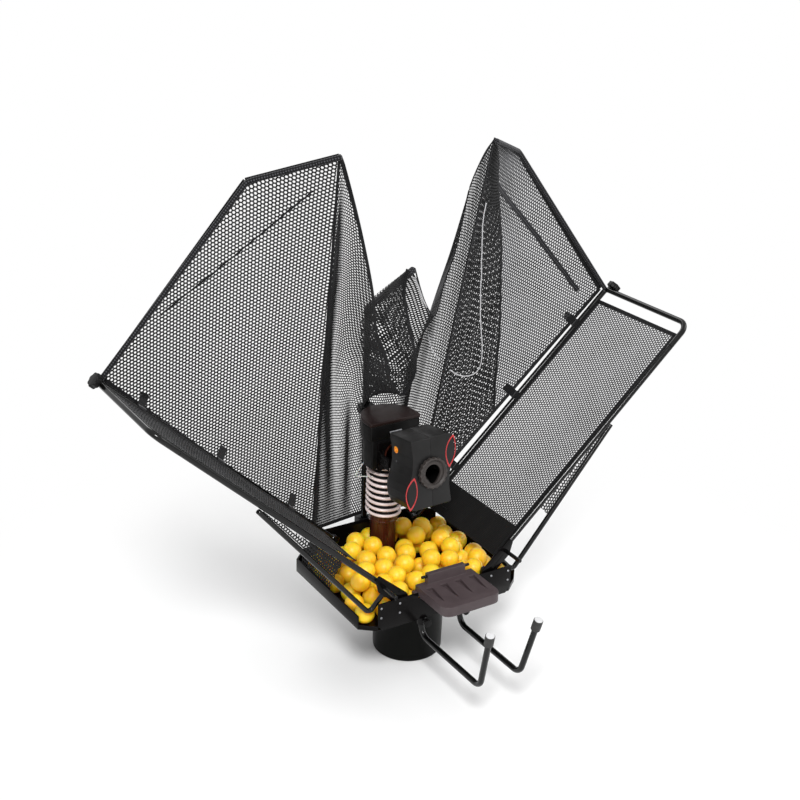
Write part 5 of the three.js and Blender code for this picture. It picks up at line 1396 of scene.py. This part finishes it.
# How near the balls' centres come to the tub's walls, its cut rear corners, the bushes, struts and column
WALL_X, WALL_FRONT, WALL_REAR = 164.2, 26.0, 294.8
CORNER_LINE, CORNER_GAP = TUB_HALF + 284 - SHEET * math.sqrt(2), 20.2
BUSH_REACH, BUSH_TOP, STRUT_X, STRUT_Y, COLUMN_REACH = 32.5, 5, 100, 39.6, 56.5
# Hidden balls are tried on this grid and at these heights; above the lowest layer only in the middle
TRIED_X, TRIED_Y, TRIED_Z = np.arange(-160, 165, 10.0), np.arange(38, 296, 10.0), (LAYER_0, LAYER_0 + 4, -8.0, LAYER_1)
MIDDLE_X, MIDDLE_Y = 120, 255


def pushed_off(p, centre, reach, top=math.inf):
    """Moves ball centres below a height outward from an upright post."""
    gap = p[:, :2] - np.array(centre)
    far = np.linalg.norm(gap, axis=1)
    near = (p[:, 2] < top) & (far < reach)
    p[near, :2] += gap[near] / np.maximum(far[near, None], 1e-6) * (reach - far[near])[:, None]


def kept_inside(p):
    """Moves ball centres inside the tub and off the column, the hook bushes and the strut's foot."""
    p[:, 0] = np.clip(p[:, 0], -WALL_X, WALL_X)
    p[:, 1] = np.clip(p[:, 1], WALL_FRONT, WALL_REAR)
    p[:, 2] = np.maximum(p[:, 2], LAYER_0)
    for side in (-1, 1):
        over = np.maximum((side * p[:, 0] + p[:, 1] - CORNER_LINE) / math.sqrt(2) + CORNER_GAP, 0)
        p[:, 0] -= side * over / math.sqrt(2)
        p[:, 1] -= over / math.sqrt(2)
        pushed_off(p, (side * HOOK_LEG[0], HOOK_LEG[1]), BUSH_REACH, BUSH_TOP)
        p[(side * p[:, 0] > STRUT_X) & (p[:, 1] < STRUT_Y), 1] = STRUT_Y
    pushed_off(p, (0, COLUMN_Y), COLUMN_REACH)
    return p


def apart(p, count=400):
    """Pushes overlapping balls apart."""
    for _ in range(count):
        gap = p[:, None] - p[None]
        far = np.linalg.norm(gap, axis=-1)
        np.fill_diagonal(far, 1e9)
        push = np.maximum(2 * BALL_R + 0.05 - far, 0)
        p = kept_inside(p + (gap / far[..., None] * (push / 2)[..., None]).sum(axis=1) * 0.9)
    return p


def ball_places():
    balls = apart(kept_inside(np.array([seen_on((x, y), (0, 0, z), UP) for x, y, z in SHOWN_BALLS])))
    for z in TRIED_Z:
        for y in TRIED_Y:
            for x in TRIED_X:
                spot = kept_inside(np.array([[x, y, z]]))
                aside = z > LAYER_0 and (abs(spot[0, 0]) > MIDDLE_X or spot[0, 1] > MIDDLE_Y)
                if not aside and np.linalg.norm(balls - spot, axis=1).min() >= 2 * BALL_R + 0.1:
                    balls = np.vstack([balls, spot])
    return balls


heap = grown(dots("ball_heap", ball_places()), BALL_TREE, ball_skin, Radius=BALL_R * MM, Seed=7)
keep(heap, ball_skin, node="ball_load", angle=180)

# Stage: a pale floor that turns plain white away from the object, and soft light

WHITE = (1, 1, 1, 1)
FLOOR_HALF, FLOOR_Z = 30, DRUM_FOOT * MM
floor_mesh = bpy.data.meshes.new("pale_floor")
floor_mesh.from_pydata([(x * FLOOR_HALF, y * FLOOR_HALF, FLOOR_Z) for x, y in ((-1, -1), (1, -1), (1, 1), (-1, 1))],
                       [], [(0, 1, 2, 3)])
floor = link("pale_floor", floor_mesh)

# Matt white studio paper: lit near the object, so that it keeps a soft shadow, and plain white beyond.
paper, tree = blank("studio_paper")
spot = add(tree, "ShaderNodeTexCoord").outputs["Object"]
away = add(tree, "ShaderNodeVectorMath", {0: spot, 1: (0.0, 0.15, FLOOR_Z)}, operation="DISTANCE").outputs["Value"]
beyond = add(tree, "ShaderNodeMapRange", {"Value": away, "From Min": 0.35, "From Max": 1.1},
             interpolation_type="SMOOTHSTEP")
lit = add(tree, "ShaderNodeBsdfPrincipled", {"Base Color": linear("#f6f6f6"), "Roughness": 0.9})
bright = add(tree, "ShaderNodeEmission", {"Color": WHITE, "Strength": 1.0})
seen = add(tree, "ShaderNodeLightPath").outputs
direct = add(tree, "ShaderNodeMath", {0: seen["Is Camera Ray"], 1: seen["Is Transmission Ray"]},
             operation="MAXIMUM")
share = add(tree, "ShaderNodeMath", {0: direct, 1: beyond}, operation="MULTIPLY")
mixed = add(tree, "ShaderNodeMixShader", {0: share, 1: lit, 2: bright})
add(tree, "ShaderNodeOutputMaterial", {"Surface": mixed})
floor_mesh.materials.append(paper)

world = bpy.data.worlds.new("studio")
world.use_nodes = True
tree = world.node_tree
tree.nodes.clear()
seen = add(tree, "ShaderNodeLightPath").outputs
direct = add(tree, "ShaderNodeMath", {0: seen["Is Camera Ray"], 1: seen["Is Glossy Ray"]}, operation="MAXIMUM")
plain = add(tree, "ShaderNodeMath", {0: direct, 1: seen["Is Transmission Ray"]}, operation="MAXIMUM")
soft, white = (add(tree, "ShaderNodeBackground", {"Color": WHITE, "Strength": power}) for power in (0.55, 1.0))
sky = add(tree, "ShaderNodeMixShader", {0: plain, 1: soft, 2: white})
add(tree, "ShaderNodeOutputWorld", {"Surface": sky})
bpy.context.scene.world = world


def soft_light(name, place, target, power, size):
    lamp = bpy.data.lights.new(name, "AREA")
    lamp.shape, lamp.size, lamp.energy = "DISK", size, power
    piece = link(name, lamp)
    piece.location = place
    piece.rotation_euler = (Vector(target) - Vector(place)).to_track_quat("-Z", "Y").to_euler()


soft_light("key_light", (-1.6, -2.4, 3.0), (0, 0.1, 0.2), 135, 1.0)
soft_light("side_light", (2.6, -1.2, 2.2), (0, 0.1, 0.2), 35, 2.0)
soft_light("rim_light", (0.5, 2.6, 2.6), (0, 0.1, 0.3), 30, 2.0)

bpy.context.scene.view_settings.view_transform = "Standard"
